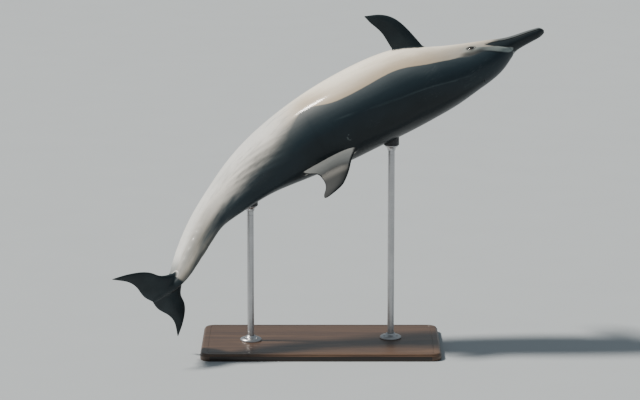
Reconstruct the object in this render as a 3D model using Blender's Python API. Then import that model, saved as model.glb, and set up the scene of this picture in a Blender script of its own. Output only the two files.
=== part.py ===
"""A common dolphin in a leap, life size, on a plain display stand.

The animal is drawn straight first. A place on it is (back, left, up), where back is the distance
from the tip of the beak towards the flukes, left is off the middle plane, and up is towards the
dorsal side, each as a share of the body's length. One function then bends, twists and rolls
every piece into the leap. World axes: +X the way the animal heads, +Z up, the floor at z = 0.
"""

import math

import bpy
import numpy as np

for item in list(bpy.data.objects):
    bpy.data.objects.remove(item, do_unlink=True)

# Driving dimensions, in metres.
LENGTH = 2.05  # tip of the beak to the notch of the flukes
GAP = 0.0003  # between pieces that touch
CUTTER_GROWTH = 0.0005  # how far a cutter stands off the flesh it copies
HALF_GAP = GAP / 2 / LENGTH
GROWTH = CUTTER_GROWTH / LENGTH

# The leap, in degrees. The animal climbs to +X, rolled over its right side with the belly up.
CLIMB = 31.0
YAW = 7.5
ROLL = 131.5
HEAD_BEND = -10.5
TAIL_BEND = 42.5
TAIL_TWIST = 16.0
FLUKE_BEND = -37.0
BEND_LENGTH = (0.34, 1.05)  # the stretch of the body over which the back arches
TWIST_LENGTH = (0.55, 1.00)
FLUKE_LENGTH = (0.89, 0.972)

# Cuts between the flesh pieces, as shares of the length.
CREASE = 0.072  # where the melon meets the beak
GAPE = 0.124  # the corner of the mouth
JAW_CUT_START = 0.05  # the jaw's room in the head is cut from here
JAW_CUT_GROWTH = 0.004  # and this much wider than the jaw
HEAD_END = 0.200
CHEST_END = 0.375
BELLY_END = 0.590
LOIN_END = 0.775
STOCK_END = 0.976

SEGMENTS = 32  # round the body
RING_STEP = 0.0205  # between rings, as a share of the length
NOSE_START = 0.0005  # the first ring, just behind the tip of the beak
NOSE_RINGS = (0.0005, 0.003, 0.008)
CREASE_RINGS = (0.062, 0.068, 0.0725, 0.077, 0.084)
LEAST_STEP = 0.003  # between a cut and the next ring


def smooth_curve(*knots):
    """A natural cubic spline through (place, value) knots, as a function of place."""
    x, y = np.array(knots, float).T
    step = np.diff(x)
    slope = np.diff(y) / step
    matrix = np.eye(len(x))
    right = np.zeros(len(x))
    for i in range(1, len(x) - 1):
        matrix[i, i - 1 : i + 2] = step[i - 1], 2 * (step[i - 1] + step[i]), step[i]
        right[i] = 6 * (slope[i] - slope[i - 1])
    bend = np.linalg.solve(matrix, right)

    def value(place):
        place = np.asarray(place, float)
        i = np.clip(np.searchsorted(x, place) - 1, 0, len(x) - 2)
        after = np.clip((place - x[i]) / step[i], -0.5, 1.5)
        before = 1 - after
        curve = (before**3 - before) * bend[i] + (after**3 - after) * bend[i + 1]
        return before * y[i] + after * y[i + 1] + curve * step[i] ** 2 / 6

    return value


def blend_step(place, start, end):
    """0 before start, 1 after end, smooth between."""
    share = np.clip((np.asarray(place, float) - start) / (end - start), 0, 1)
    return share**3 * (share * (6 * share - 15) + 10)


# The body's lines, as (place along the body, distance off the axis).
CREASE_ROUNDING = 0.0022
BEAK_TOP_END = 0.16  # behind this the melon alone makes the top line
NOSE_RADIUS = 0.010  # over which the beak's tip closes
BEAK_TOP = smooth_curve((0.000, 0.0075), (0.037, 0.0098), (0.080, 0.0150), (0.160, 0.0260))
MELON_AND_BACK = smooth_curve(
    (0.062, 0.0060),
    (0.085, 0.0270),
    (0.110, 0.0430),
    (0.157, 0.0580),
    (0.220, 0.0700),
    (0.320, 0.0785),
    (0.430, 0.0850),
    (0.530, 0.0850),
    (0.627, 0.0718),
    (0.700, 0.0592),
    (0.755, 0.0470),
    (0.790, 0.0375),
    (0.826, 0.0362),
    (0.872, 0.0330),
    (0.930, 0.0235),
    (STOCK_END, 0.0050),
)
BELLY = smooth_curve(
    (0.000, 0.0105),
    (0.037, 0.0150),
    (0.074, 0.0182),
    (0.120, 0.0295),
    (0.165, 0.0425),
    (0.230, 0.0645),
    (0.265, 0.0805),
    (0.320, 0.0915),
    (0.430, 0.0875),
    (0.530, 0.0760),
    (0.627, 0.0655),
    (0.755, 0.0490),
    (0.872, 0.0380),
    (0.930, 0.0245),
    (STOCK_END, 0.0050),
)
HALF_WIDTH = smooth_curve(
    (0.000, 0.0085),
    (0.037, 0.0135),
    (0.074, 0.0190),
    (0.100, 0.0300),
    (0.157, 0.0445),
    (0.230, 0.0650),
    (0.320, 0.0800),
    (0.430, 0.0825),
    (0.530, 0.0725),
    (0.627, 0.0530),
    (0.755, 0.0290),
    (0.872, 0.0150),
    (0.930, 0.0105),
    (STOCK_END, 0.0040),
)
# How full the section is: 2 is an ellipse, less draws the stock's top and bottom into keels.
FULLNESS = smooth_curve((0.0, 2.1), (0.15, 2.1), (0.40, 2.1), (0.62, 1.95), (0.80, 1.7), (1.0, 1.8))
MOUTH_LINE = smooth_curve((0.0, -0.0020), (0.04, -0.0030), (0.09, -0.0038), (GAPE, -0.0050))


def top_of(back):
    """Height of the beak, melon and back over the axis, with a soft crease between them."""
    beak, melon = BEAK_TOP(back), MELON_AND_BACK(back)
    beak = np.where(np.asarray(back) > BEAK_TOP_END, melon - 1, beak)
    apart = np.sqrt(((beak - melon) / 2) ** 2 + CREASE_ROUNDING**2)
    return (beak + melon - CREASE_ROUNDING) / 2 + apart


def nose_close(back):
    """How far the beak's rounded tip has opened at a station, 1 from the nose radius on."""
    return np.sqrt(1 - (1 - np.clip(back / NOSE_RADIUS, 0.02, 1)) ** 2)


def section(back, angle, grow=0.0):
    """Points of the body's surface at a station, by the angle from the left side up."""
    nose = nose_close(back)
    top, belly, wide = top_of(back) * nose, BELLY(back) * nose, HALF_WIDTH(back) * nose
    power = 2 / FULLNESS(back)
    across, along = np.cos(angle), np.sin(angle)
    left = (wide + grow) * np.sign(across) * np.abs(across) ** power
    up = (top - belly) / 2 + ((top + belly) / 2 + grow) * np.sign(along) * np.abs(along) ** power
    return np.stack([np.full(left.shape, back), left, up], axis=-1)


def angle_at(back, height):
    """The angle at which the left side of a station's section is at a height."""
    top, belly = top_of(back), BELLY(back)
    share = (height - (top - belly) / 2) / ((top + belly) / 2)
    return np.arcsin(np.sign(share) * np.abs(share) ** (FULLNESS(back) / 2))


def turn(axis, degrees):
    """Rotations about one of the animal's own axes: 0 forward, 1 left, 2 up."""
    cosine, sine = np.cos(np.radians(degrees)), np.sin(np.radians(degrees))
    made = np.zeros(np.shape(cosine) + (3, 3))
    a, b = [(1, 2), (2, 0), (0, 1)][axis]
    made[..., axis, axis] = 1
    made[..., a, a] = made[..., b, b] = cosine
    made[..., b, a] = sine
    made[..., a, b] = -sine
    return made


def attitude(back):
    """Columns: forward, left and up of the animal at a station, in the world."""
    bend = HEAD_BEND + (TAIL_BEND - HEAD_BEND) * blend_step(back, *BEND_LENGTH)
    twist = -TAIL_TWIST * blend_step(back, *TWIST_LENGTH)
    fluke = FLUKE_BEND * blend_step(back, *FLUKE_LENGTH)
    whole = turn(2, YAW) @ turn(1, -CLIMB) @ turn(0, ROLL)
    return whole @ turn(1, bend) @ turn(0, twist) @ turn(1, fluke)


SPINE_STATIONS = np.linspace(-0.05, 1.10, 1151)
SPINE_STEP = SPINE_STATIONS[1] - SPINE_STATIONS[0]
SPINE = np.cumsum(-attitude(SPINE_STATIONS)[..., 0] * SPINE_STEP, axis=0)


def bent(points):
    """Points given as (back, left, up) shares, in metres and in the leap's attitude."""
    back = points[..., 0]
    spine = np.stack([np.interp(back, SPINE_STATIONS, SPINE[:, i]) for i in range(3)], axis=-1)
    frame = attitude(back)
    offset = frame[..., 1] * points[..., 1:2] + frame[..., 2] * points[..., 2:3]
    return (spine + offset) * LENGTH


def stations(start, end):
    """Ring places from start to end, taken from one row so that neighbours match."""
    row = np.arange(0.0, 1.0, RING_STEP)
    inside = np.concatenate([row[(row > NOSE_RADIUS) & (row < STOCK_END)], NOSE_RINGS, CREASE_RINGS])
    inside = inside[(inside > start + LEAST_STEP) & (inside < end - LEAST_STEP)]
    return np.sort(np.concatenate([[start, end], inside]))


def flesh(start, end, grow=0.0):
    """Rings of a length of the body."""
    angles = np.linspace(0, 2 * np.pi, SEGMENTS, endpoint=False)
    return np.array([section(back, angles, grow) for back in stations(start, end)])


def half_beak(start, end, side, grow=0.0, lift=0.0):
    """Rings of the beak above (side 1) or below (side -1) the line of the mouth."""
    rings = []
    for back in stations(start, end):
        lip = side * angle_at(back, MOUTH_LINE(back))
        angles = side * np.linspace(lip, np.pi - lip, SEGMENTS // 2)
        ring = section(back, angles, grow)
        ring[[0, -1], 2] = MOUTH_LINE(back) * nose_close(back) + side * HALF_GAP + lift
        rings.append(ring[:: int(side)])
    return np.array(rings)


# The fins. Leading and trailing edges are chord places against the span, as shares of the length.
FIN_CHORD_STEPS = 11
FIN_BLUNT = 0.12  # thickness of the trailing edge, as a share of the thickest place
FIN_TIP_ROUND = 0.10  # share of the span over which a tip closes
FIN_TIP_PLACE = 0.6  # where along the chord the tip closes to
FIN_LEAST = 0.0006  # least half thickness


def foil(share):
    """Half thickness of a fin's section along its chord, 1 at the thickest."""
    wing = 2.969 * np.sqrt(share) - 1.26 * share - 3.516 * share**2
    wing += 2.843 * share**3 - 1.036 * share**4
    return wing * (1 - FIN_BLUNT) + FIN_BLUNT * np.sqrt(np.clip(4 * share, 0, 1))


def fin(root, outward, backward, leading, trailing, thick, start, reach, rows):
    """Rings of a fin from start to reach along outward, its chord along backward."""
    root, outward, backward = np.array(root), np.array(outward), np.array(backward)
    across = np.cross(outward, backward)
    share = (1 - np.cos(np.linspace(0, 2 * np.pi, 2 * FIN_CHORD_STEPS, endpoint=False))) / 2
    face = np.sign(np.sin(np.linspace(0, 2 * np.pi, 2 * FIN_CHORD_STEPS, endpoint=False)))
    face[[0, FIN_CHORD_STEPS]] = 0
    rings = []
    for part in np.linspace(0, np.pi / 2, rows):
        span = start + (reach * 0.998 - start) * np.sin(part)
        closing = np.sqrt(min((reach - span) / (FIN_TIP_ROUND * reach), 1))
        front, rear = leading(max(span, 0)), trailing(max(span, 0))
        middle = front + (rear - front) * FIN_TIP_PLACE
        chord = middle + (front + (rear - front) * share - middle) * closing
        level = foil(share) * face * max(thick(max(span, 0)) * closing, FIN_LEAST)
        rings.append(root + span * outward + np.outer(chord, backward) + np.outer(level, across))
    return np.array(rings)


def other_side(rings):
    """The same piece on the right of the middle plane."""
    return (rings * np.array([1, -1, 1]))[:, ::-1]


DORSAL_REACH = 0.084
DORSAL_FIN = fin(
    root=(0.441, 0.0, 0.0825),
    outward=(0.0, 0.0, 1.0),
    backward=(1.0, 0.0, 0.0),
    leading=smooth_curve((0, 0.0), (0.02, 0.018), (0.045, 0.036), (0.066, 0.059), (0.084, 0.096)),
    trailing=smooth_curve((0, 0.130), (0.010, 0.110), (0.030, 0.098), (0.060, 0.102), (0.084, 0.122)),
    thick=smooth_curve((0, 0.0095), (0.015, 0.0072), (0.045, 0.0052), (0.084, 0.0020)),
    start=-0.02,
    reach=DORSAL_REACH,
    rows=13,
)
FLUKE_REACH = 0.1155
FLUKE_LEFT = fin(
    root=(0.0, 0.0, 0.0),
    outward=(0.0, 1.0, 0.0),
    backward=(1.0, 0.0, 0.0),
    leading=smooth_curve(
        (0, 0.910), (0.018, 0.933), (0.034, 0.949), (0.055, 0.957), (0.080, 0.973), (0.1155, 1.016)
    ),
    trailing=smooth_curve((0, 1.000), (0.025, 1.004), (0.052, 1.000), (0.085, 1.004), (0.1155, 1.022)),
    thick=smooth_curve((0, 0.0085), (0.02, 0.0066), (0.05, 0.0045), (0.1155, 0.0013)),
    start=HALF_GAP,
    reach=FLUKE_REACH,
    rows=14,
)
FLIPPER_REACH = 0.1295
FLIPPER_LEFT = fin(
    root=(0.237, 0.047, -0.054),
    outward=(0.5, 0.6, -0.62),
    backward=(0.866, -0.346, 0.358),
    leading=smooth_curve((0, 0.0), (0.022, -0.005), (0.056, -0.011), (0.095, -0.006), (0.1295, 0.0185)),
    trailing=smooth_curve((0, 0.050), (0.050, 0.040), (0.080, 0.0285), (0.110, 0.0255), (0.1295, 0.0240)),
    thick=smooth_curve((0, 0.0095), (0.02, 0.0075), (0.05, 0.0055), (0.1295, 0.0016)),
    start=-0.02,
    reach=FLIPPER_REACH,
    rows=14,
)

# The eyes, in metres.
EYE_BACK = 0.150
EYE_HEIGHT = -0.0028
EYE_RADIUS = 0.0135
EYE_PROUD = 0.0030  # how far the eye stands out of the skin

# The stand, in metres.
BASE_SIZE = (1.00, 0.54, 0.030)
BASE_CORNER = 0.045
BASE_EDGE = 0.006
FLUKE_CLEARANCE = 0.045  # under the lowest fluke
ROD_RADIUS = 0.014
FOOT_RADIUS = 0.045
FOOT_HEIGHT = 0.022
CUP_HEIGHT = 0.022
PAD_RADIUS = 0.032
PAD_BITE = 0.006  # how far the pad reaches under its lowest touch with the skin
ROD_STATIONS = {"front": 0.335, "rear": 0.665}

# Where the spine lies: the whole box is centred over the origin, and the flukes clear the base.
EXTENT = np.concatenate(
    [
        bent(rings).reshape(-1, 3)
        for rings in (flesh(NOSE_START, STOCK_END), DORSAL_FIN, FLIPPER_LEFT, other_side(FLIPPER_LEFT))
        + (FLUKE_LEFT, other_side(FLUKE_LEFT))
    ]
)
CENTRE = (EXTENT.min(axis=0) + EXTENT.max(axis=0)) / 2
LOWEST = EXTENT[:, 2].min()
PLACE = np.array([-CENTRE[0], -CENTRE[1], BASE_SIZE[2] + FLUKE_CLEARANCE - LOWEST])


def paint(name, colour, roughness, metallic=0.0):
    """A Principled material of one colour."""
    material = bpy.data.materials.new(name)
    material.use_nodes = True
    shader = material.node_tree.nodes["Principled BSDF"]
    shader.inputs["Base Color"].default_value = (*colour, 1)
    shader.inputs["Roughness"].default_value = roughness
    shader.inputs["Metallic"].default_value = metallic
    material.diffuse_color = (*colour, 1)
    return material


def add_object(name, points, faces, material, cutter=False):
    """One object from points in world metres. A cutter shows in no render."""
    mesh = bpy.data.meshes.new(name)
    mesh.from_pydata(points.tolist(), [], faces)
    mesh.shade_smooth()
    mesh.set_sharp_from_angle(angle=math.radians(40))
    if material:
        mesh.materials.append(material)
    piece = bpy.data.objects.new(name, mesh)
    bpy.context.scene.collection.objects.link(piece)
    if cutter:
        piece.hide_render = True
        piece.display_type = "WIRE"
    return piece


def add_loft(name, rings, material, cutter=False):
    """A closed solid through rings of (back, left, up) shares, flat at both ends."""
    count, around = rings.shape[:2]
    faces = []
    for i in range(count - 1):
        for j in range(around):
            a, b = i * around + j, i * around + (j + 1) % around
            faces += [(a, a + around, b), (b, a + around, b + around)]
    faces.append(tuple(range(around)))
    faces.append(tuple((count - 1) * around + j for j in reversed(range(around))))
    return add_object(name, bent(rings).reshape(-1, 3) + PLACE, faces, material, cutter)


def cut(piece, *cutters):
    """Takes the cutters' shapes out of a piece."""
    for cutter in cutters:
        modifier = piece.modifiers.new("cut_" + cutter.name, "BOOLEAN")
        modifier.operation = "DIFFERENCE"
        modifier.solver = "EXACT"
        modifier.object = cutter


def add_turned(name, profile, centre, material, sides=20):
    """A solid turned about a vertical axis, from (radius, height) points from the bottom up."""
    angles = np.linspace(0, 2 * np.pi, sides, endpoint=False)
    ring = np.stack([np.cos(angles), np.sin(angles)], axis=-1)
    points = [np.column_stack([ring * radius, np.full(sides, height)]) for radius, height in profile]
    faces = []
    for i in range(len(profile) - 1):
        for j in range(sides):
            a, b = i * sides + j, i * sides + (j + 1) % sides
            faces.append((a, b, b + sides, a + sides))
    faces.append(tuple(reversed(range(sides))))
    faces.append(tuple((len(profile) - 1) * sides + j for j in range(sides)))
    return add_object(name, np.concatenate(points) + np.array(centre), faces, material)


# Finishes.
CAPE = paint("cape_skin", (0.030, 0.042, 0.050), 0.30)
FLANK = paint("flank_skin", (0.42, 0.42, 0.41), 0.32)
BEAK = paint("beak_skin", (0.045, 0.055, 0.062), 0.30)
FINS = paint("fin_skin", (0.022, 0.030, 0.037), 0.30)
DORSAL = paint("dorsal_fin_skin", (0.20, 0.19, 0.18), 0.30)
EYES = paint("eye", (0.010, 0.008, 0.007), 0.08)
WOOD = paint("stand_wood", (0.10, 0.055, 0.030), 0.45)
STEEL = paint("stand_steel", (0.55, 0.55, 0.56), 0.30, 1.0)
FELT = paint("stand_felt", (0.035, 0.035, 0.038), 0.95)


def eye_sphere(name, side, radius, material, cutter=False):
    """An eyeball let into the side of the head."""
    angle = angle_at(EYE_BACK, EYE_HEIGHT)
    surface = section(EYE_BACK, np.array([angle, angle + 0.02]))
    along = surface[1] - surface[0]
    out = np.array([0, along[2], -along[1]]) / np.hypot(along[1], along[2])
    middle = surface[0] - out * (EYE_RADIUS - EYE_PROUD) / LENGTH
    turns, rows = 16, 8
    rings = []
    for polar in np.linspace(0.04, np.pi - 0.04, rows):
        around = np.linspace(0, 2 * np.pi, turns, endpoint=False)
        ball = np.stack(
            [np.full(turns, -np.cos(polar)), np.cos(around) * np.sin(polar), np.sin(around) * np.sin(polar)],
            axis=-1,
        )
        rings.append(middle + ball * radius / LENGTH)
    rings = np.array(rings)
    return add_loft(name, rings if side > 0 else other_side(rings), material, cutter)


# Cutters: the whole body grown a little, the mouth's lower jaw, and the eye sockets.
body_cutter = add_loft("body_cutter", flesh(NOSE_START, STOCK_END, GROWTH), None, cutter=True)
jaw_rings = half_beak(JAW_CUT_START, GAPE + 4 * HALF_GAP, -1, JAW_CUT_GROWTH, 2 * HALF_GAP)
jaw_cutter = add_loft("jaw_cutter", jaw_rings, None, cutter=True)
socket_cutters = [
    eye_sphere("socket_cutter_" + name, side, EYE_RADIUS + CUTTER_GROWTH, None, cutter=True)
    for side, name in ((1, "left"), (-1, "right"))
]

# Head and beak.
add_loft("beak_upper", half_beak(NOSE_START, CREASE - HALF_GAP, 1), BEAK)
add_loft("beak_lower", half_beak(NOSE_START, GAPE, -1), BEAK)
head = add_loft("head", flesh(CREASE + HALF_GAP, HEAD_END - HALF_GAP), CAPE)
cut(head, jaw_cutter, *socket_cutters)
eye_sphere("eye_left", 1, EYE_RADIUS, EYES)
eye_sphere("eye_right", -1, EYE_RADIUS, EYES)

# Trunk and tail.
CUTS = (HEAD_END, CHEST_END, BELLY_END, LOIN_END, STOCK_END)
LENGTHS = (("chest", CAPE), ("abdomen", FLANK), ("loin", FLANK), ("tail_stock", FLANK))
for (name, finish), start, end in zip(LENGTHS, CUTS[:-1], CUTS[1:]):
    add_loft(name, flesh(start + HALF_GAP, end - HALF_GAP), finish)

# Fins, fitted to the body.
for name, rings, finish in (
    ("dorsal_fin", DORSAL_FIN, DORSAL),
    ("flipper_left", FLIPPER_LEFT, FINS),
    ("flipper_right", other_side(FLIPPER_LEFT), FINS),
    ("fluke_left", FLUKE_LEFT, FINS),
    ("fluke_right", other_side(FLUKE_LEFT), FINS),
):
    cut(add_loft(name, rings, finish), body_cutter)


def spine_at(back):
    """The world place of the body's axis at a station."""
    return bent(np.array([back, 0.0, 0.0])) + PLACE


def under_body(back):
    """The lowest point of the body's surface near the vertical line through its axis."""
    axis = spine_at(back)
    angles = np.linspace(0, 2 * np.pi, 90)
    near = [bent(section(place, angles)) + PLACE for place in np.linspace(back - 0.06, back + 0.06, 25)]
    near = np.concatenate(near)
    close = np.hypot(near[:, 0] - axis[0], near[:, 1] - axis[1]) < PAD_RADIUS
    return near[close & (near[:, 2] < axis[2]), 2].min()


# The stand: a wooden base, and steel rods, each with a foot, a cup and a felt pad, under the
# back and under the loin.
rods = {name: spine_at(back) for name, back in ROD_STATIONS.items()}
base_centre = sum(rods.values()) / len(rods)
corners = []
for quarter, (right, far) in enumerate(((1, 1), (-1, 1), (-1, -1), (1, -1))):
    middle_x = right * (BASE_SIZE[0] / 2 - BASE_CORNER)
    middle_y = far * (BASE_SIZE[1] / 2 - BASE_CORNER)
    for step in range(6):
        angle = (quarter + step / 5) * np.pi / 2
        corners.append((middle_x, middle_y, np.cos(angle), np.sin(angle)))
corners = np.array(corners)
base_rings = []
for inset, height in ((BASE_EDGE / 3, 0), (0, BASE_EDGE / 3), (0, BASE_SIZE[2] - BASE_EDGE)) + (
    (BASE_EDGE * 0.3, BASE_SIZE[2] - BASE_EDGE * 0.3),
    (BASE_EDGE, BASE_SIZE[2]),
):
    flat = corners[:, :2] + corners[:, 2:] * (BASE_CORNER - inset) + base_centre[:2]
    base_rings.append(np.column_stack([flat, np.full(len(flat), height)]))
around = len(corners)
base_faces = [tuple(reversed(range(around))), tuple(4 * around + j for j in range(around))]
for i in range(4):
    for j in range(around):
        a, b = i * around + j, i * around + (j + 1) % around
        base_faces.append((a, b, b + around, a + around))
add_object("stand_base", np.concatenate(base_rings), base_faces, WOOD)

for name, axis in rods.items():
    place = (axis[0], axis[1], 0.0)
    foot_bottom = BASE_SIZE[2] + GAP
    rod_bottom = foot_bottom + FOOT_HEIGHT + GAP
    pad_bottom = under_body(ROD_STATIONS[name]) - PAD_BITE
    cup_bottom = pad_bottom - GAP - CUP_HEIGHT
    foot = (
        (FOOT_RADIUS, 0.0),
        (FOOT_RADIUS, 0.35),
        (FOOT_RADIUS * 0.85, 0.55),
        (ROD_RADIUS * 1.5, 0.70),
        (ROD_RADIUS * 1.35, 1.0),
    )
    cup = (
        (ROD_RADIUS * 1.2, 0.0),
        (ROD_RADIUS * 1.3, 0.35),
        (PAD_RADIUS * 0.85, 0.8),
        (PAD_RADIUS * 0.9, 1.0),
    )
    foot_profile = [(radius, foot_bottom + share * FOOT_HEIGHT) for radius, share in foot]
    cup_profile = [(radius, cup_bottom + share * CUP_HEIGHT) for radius, share in cup]
    rod_profile = [(ROD_RADIUS, rod_bottom), (ROD_RADIUS, cup_bottom - GAP)]
    add_turned("stand_foot_" + name, foot_profile, place, STEEL)
    add_turned("stand_rod_" + name, rod_profile, place, STEEL)
    add_turned("stand_cup_" + name, cup_profile, place, STEEL)
    pad = add_turned("stand_pad_" + name, [(PAD_RADIUS, pad_bottom), (PAD_RADIUS, axis[2])], place, FELT)
    cut(pad, body_cutter)
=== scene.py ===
import math

import bmesh
import bpy
import numpy as np
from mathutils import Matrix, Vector
from mathutils.bvhtree import BVHTree


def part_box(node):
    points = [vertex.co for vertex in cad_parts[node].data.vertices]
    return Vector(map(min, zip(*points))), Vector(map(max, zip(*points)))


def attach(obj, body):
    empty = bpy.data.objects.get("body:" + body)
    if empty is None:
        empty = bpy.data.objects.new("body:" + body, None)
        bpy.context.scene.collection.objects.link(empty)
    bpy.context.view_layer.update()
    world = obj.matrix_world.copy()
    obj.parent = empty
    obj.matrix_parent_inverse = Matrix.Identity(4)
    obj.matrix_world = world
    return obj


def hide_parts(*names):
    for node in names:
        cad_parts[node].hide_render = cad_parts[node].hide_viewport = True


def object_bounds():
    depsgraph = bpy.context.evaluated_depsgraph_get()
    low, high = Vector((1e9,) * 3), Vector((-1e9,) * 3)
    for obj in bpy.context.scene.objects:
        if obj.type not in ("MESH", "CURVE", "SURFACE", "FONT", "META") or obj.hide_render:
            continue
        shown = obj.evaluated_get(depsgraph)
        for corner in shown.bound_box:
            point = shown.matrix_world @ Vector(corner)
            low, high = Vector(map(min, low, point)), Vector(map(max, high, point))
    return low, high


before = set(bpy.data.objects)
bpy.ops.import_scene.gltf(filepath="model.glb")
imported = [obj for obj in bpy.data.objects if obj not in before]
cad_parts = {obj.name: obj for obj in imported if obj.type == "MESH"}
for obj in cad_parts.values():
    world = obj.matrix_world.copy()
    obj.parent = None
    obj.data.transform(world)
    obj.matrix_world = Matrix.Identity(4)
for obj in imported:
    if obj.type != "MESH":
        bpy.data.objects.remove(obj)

cad_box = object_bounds()

# The body. A dolphin's trunk is one smooth spindle of muscle and blubber, blunt at the melon and
# drawn out to a keeled tail stock. It is laid out straight, as (back, left, up) shares of the
# length: back from the tip of the beak, left off the middle plane, up towards the dorsal fin.
LENGTH = 2.05  # metres, from the beak's tip to the notch of the flukes
NOSE_RADIUS = 0.010
CREASE_ROUNDING = 0.0022  # how softly the beak's top meets the melon
BEAK_TOP_END = 0.16  # how far back the beak's top runs on under the melon
GAPE = 0.124  # the corner of the mouth
EYE_BACK = 0.150
EYE_HEIGHT = -0.0028
TAIL_START = 0.85  # from here back, the stock may run out over the flukes
STOCK_END = 0.976
RUN_ON = 0.5  # how far a curve runs on past its end knots, in knot steps


def smooth_curve(*knots):
    """A natural cubic spline through (place, value) knots, as a function of place."""
    x, y = np.array(knots, float).T
    step = np.diff(x)
    slope = np.diff(y) / step
    matrix = np.eye(len(x))
    right = np.zeros(len(x))
    for i in range(1, len(x) - 1):
        matrix[i, i - 1 : i + 2] = step[i - 1], 2 * (step[i - 1] + step[i]), step[i]
        right[i] = 6 * (slope[i] - slope[i - 1])
    bend = np.linalg.solve(matrix, right)

    def value(place):
        place = np.asarray(place, float)
        i = np.clip(np.searchsorted(x, place) - 1, 0, len(x) - 2)
        after = np.clip((place - x[i]) / step[i], -RUN_ON, 1 + RUN_ON)
        before = 1 - after
        curve = (before**3 - before) * bend[i] + (after**3 - after) * bend[i + 1]
        return before * y[i] + after * y[i + 1] + curve * step[i] ** 2 / 6

    return value


def blend_step(place, start, end):
    """0 before start, 1 after end, smooth between."""
    share = np.clip((np.asarray(place, float) - start) / (end - start), 0, 1)
    return share**3 * (share * (6 * share - 15) + 10)


def hump(place, width):
    """1 at 0, falling smoothly to 0 at the width either side."""
    return 1 - blend_step(np.abs(place), 0, width)


BEAK_TOP = smooth_curve((0.000, 0.0075), (0.037, 0.0098), (0.080, 0.0150), (0.160, 0.0260))
MELON_AND_BACK = smooth_curve(
    (0.062, 0.0060),
    (0.085, 0.0270),
    (0.110, 0.0430),
    (0.157, 0.0580),
    (0.220, 0.0700),
    (0.320, 0.0785),
    (0.430, 0.0850),
    (0.530, 0.0850),
    (0.627, 0.0718),
    (0.700, 0.0592),
    (0.755, 0.0470),
    (0.790, 0.0375),
    (0.826, 0.0362),
    (0.872, 0.0330),
    (0.930, 0.0235),
    (STOCK_END, 0.0050),
)
BELLY = smooth_curve(
    (0.000, 0.0105),
    (0.037, 0.0150),
    (0.074, 0.0182),
    (0.120, 0.0295),
    (0.165, 0.0425),
    (0.230, 0.0645),
    (0.265, 0.0805),
    (0.320, 0.0915),
    (0.430, 0.0875),
    (0.530, 0.0760),
    (0.627, 0.0655),
    (0.755, 0.0490),
    (0.872, 0.0380),
    (0.930, 0.0245),
    (STOCK_END, 0.0050),
)
HALF_WIDTH = smooth_curve(
    (0.000, 0.0085),
    (0.037, 0.0135),
    (0.074, 0.0190),
    (0.100, 0.0300),
    (0.157, 0.0445),
    (0.230, 0.0650),
    (0.320, 0.0800),
    (0.430, 0.0825),
    (0.530, 0.0725),
    (0.627, 0.0530),
    (0.755, 0.0290),
    (0.872, 0.0150),
    (0.930, 0.0105),
    (STOCK_END, 0.0040),
)
# The power of a section's outline: 2 is an ellipse, and less draws it in to a keel.
FULLNESS = smooth_curve((0.0, 2.1), (0.15, 2.1), (0.40, 2.1), (0.62, 1.95), (0.80, 1.7), (1.0, 1.8))
MOUTH_LINE = smooth_curve((0.0, -0.0020), (0.04, -0.0030), (0.09, -0.0038), (GAPE, -0.0050))

# Where the stock runs out over the flukes it becomes a low tongue, which ends at the notch.
TONGUE_NARROWS = 0.92
TONGUE_START = 0.955
TONGUE_WIDTH = 0.0125
TONGUE_ROUNDING = 0.002
STOCK_FADE = 0.01  # how far before its end the stock starts to give way to the ridge
NOTCH = 1.0
FLUKE_ROOT_FRONT = 0.910
FLUKE_ROOT_LEVEL = 0.0085
RIDGE = 1.25  # the tongue's height over the flukes' own
RIDGE_LEAST = 0.0006
FIN_BLUNT = 0.12  # thickness of a fin's trailing edge, as a share of its thickest place
FIN_BLUNT_END = 0.03  # share of the chord over which that edge is rounded off
ANGLE_STEP = 0.01


def foil(share):
    """Half thickness of a fin's section along its chord, 1 at the thickest."""
    share = np.clip(share, 0, 1)
    wing = 2.969 * np.sqrt(share) - 1.26 * share - 3.516 * share**2
    wing += 2.843 * share**3 - 1.036 * share**4
    edge = np.clip((1 - share) / FIN_BLUNT_END, 0, 1)
    blunt = np.sqrt(np.clip(4 * share, 0, 1)) * np.sqrt(edge * (2 - edge))
    return np.maximum(wing, 0) * (1 - FIN_BLUNT) + FIN_BLUNT * blunt


def soft_larger(a, b, rounding):
    """The larger of two, rounded where they cross."""
    return (a + b + np.sqrt((a - b) ** 2 + rounding**2)) / 2


def top_of(back):
    """Height of the beak, melon and back over the axis, with a soft crease between them."""
    beak, melon = BEAK_TOP(back), MELON_AND_BACK(back)
    beak = np.where(np.asarray(back) > BEAK_TOP_END, melon - 1, beak)
    return soft_larger(beak, melon, 2 * CREASE_ROUNDING) - CREASE_ROUNDING / 2


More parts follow.
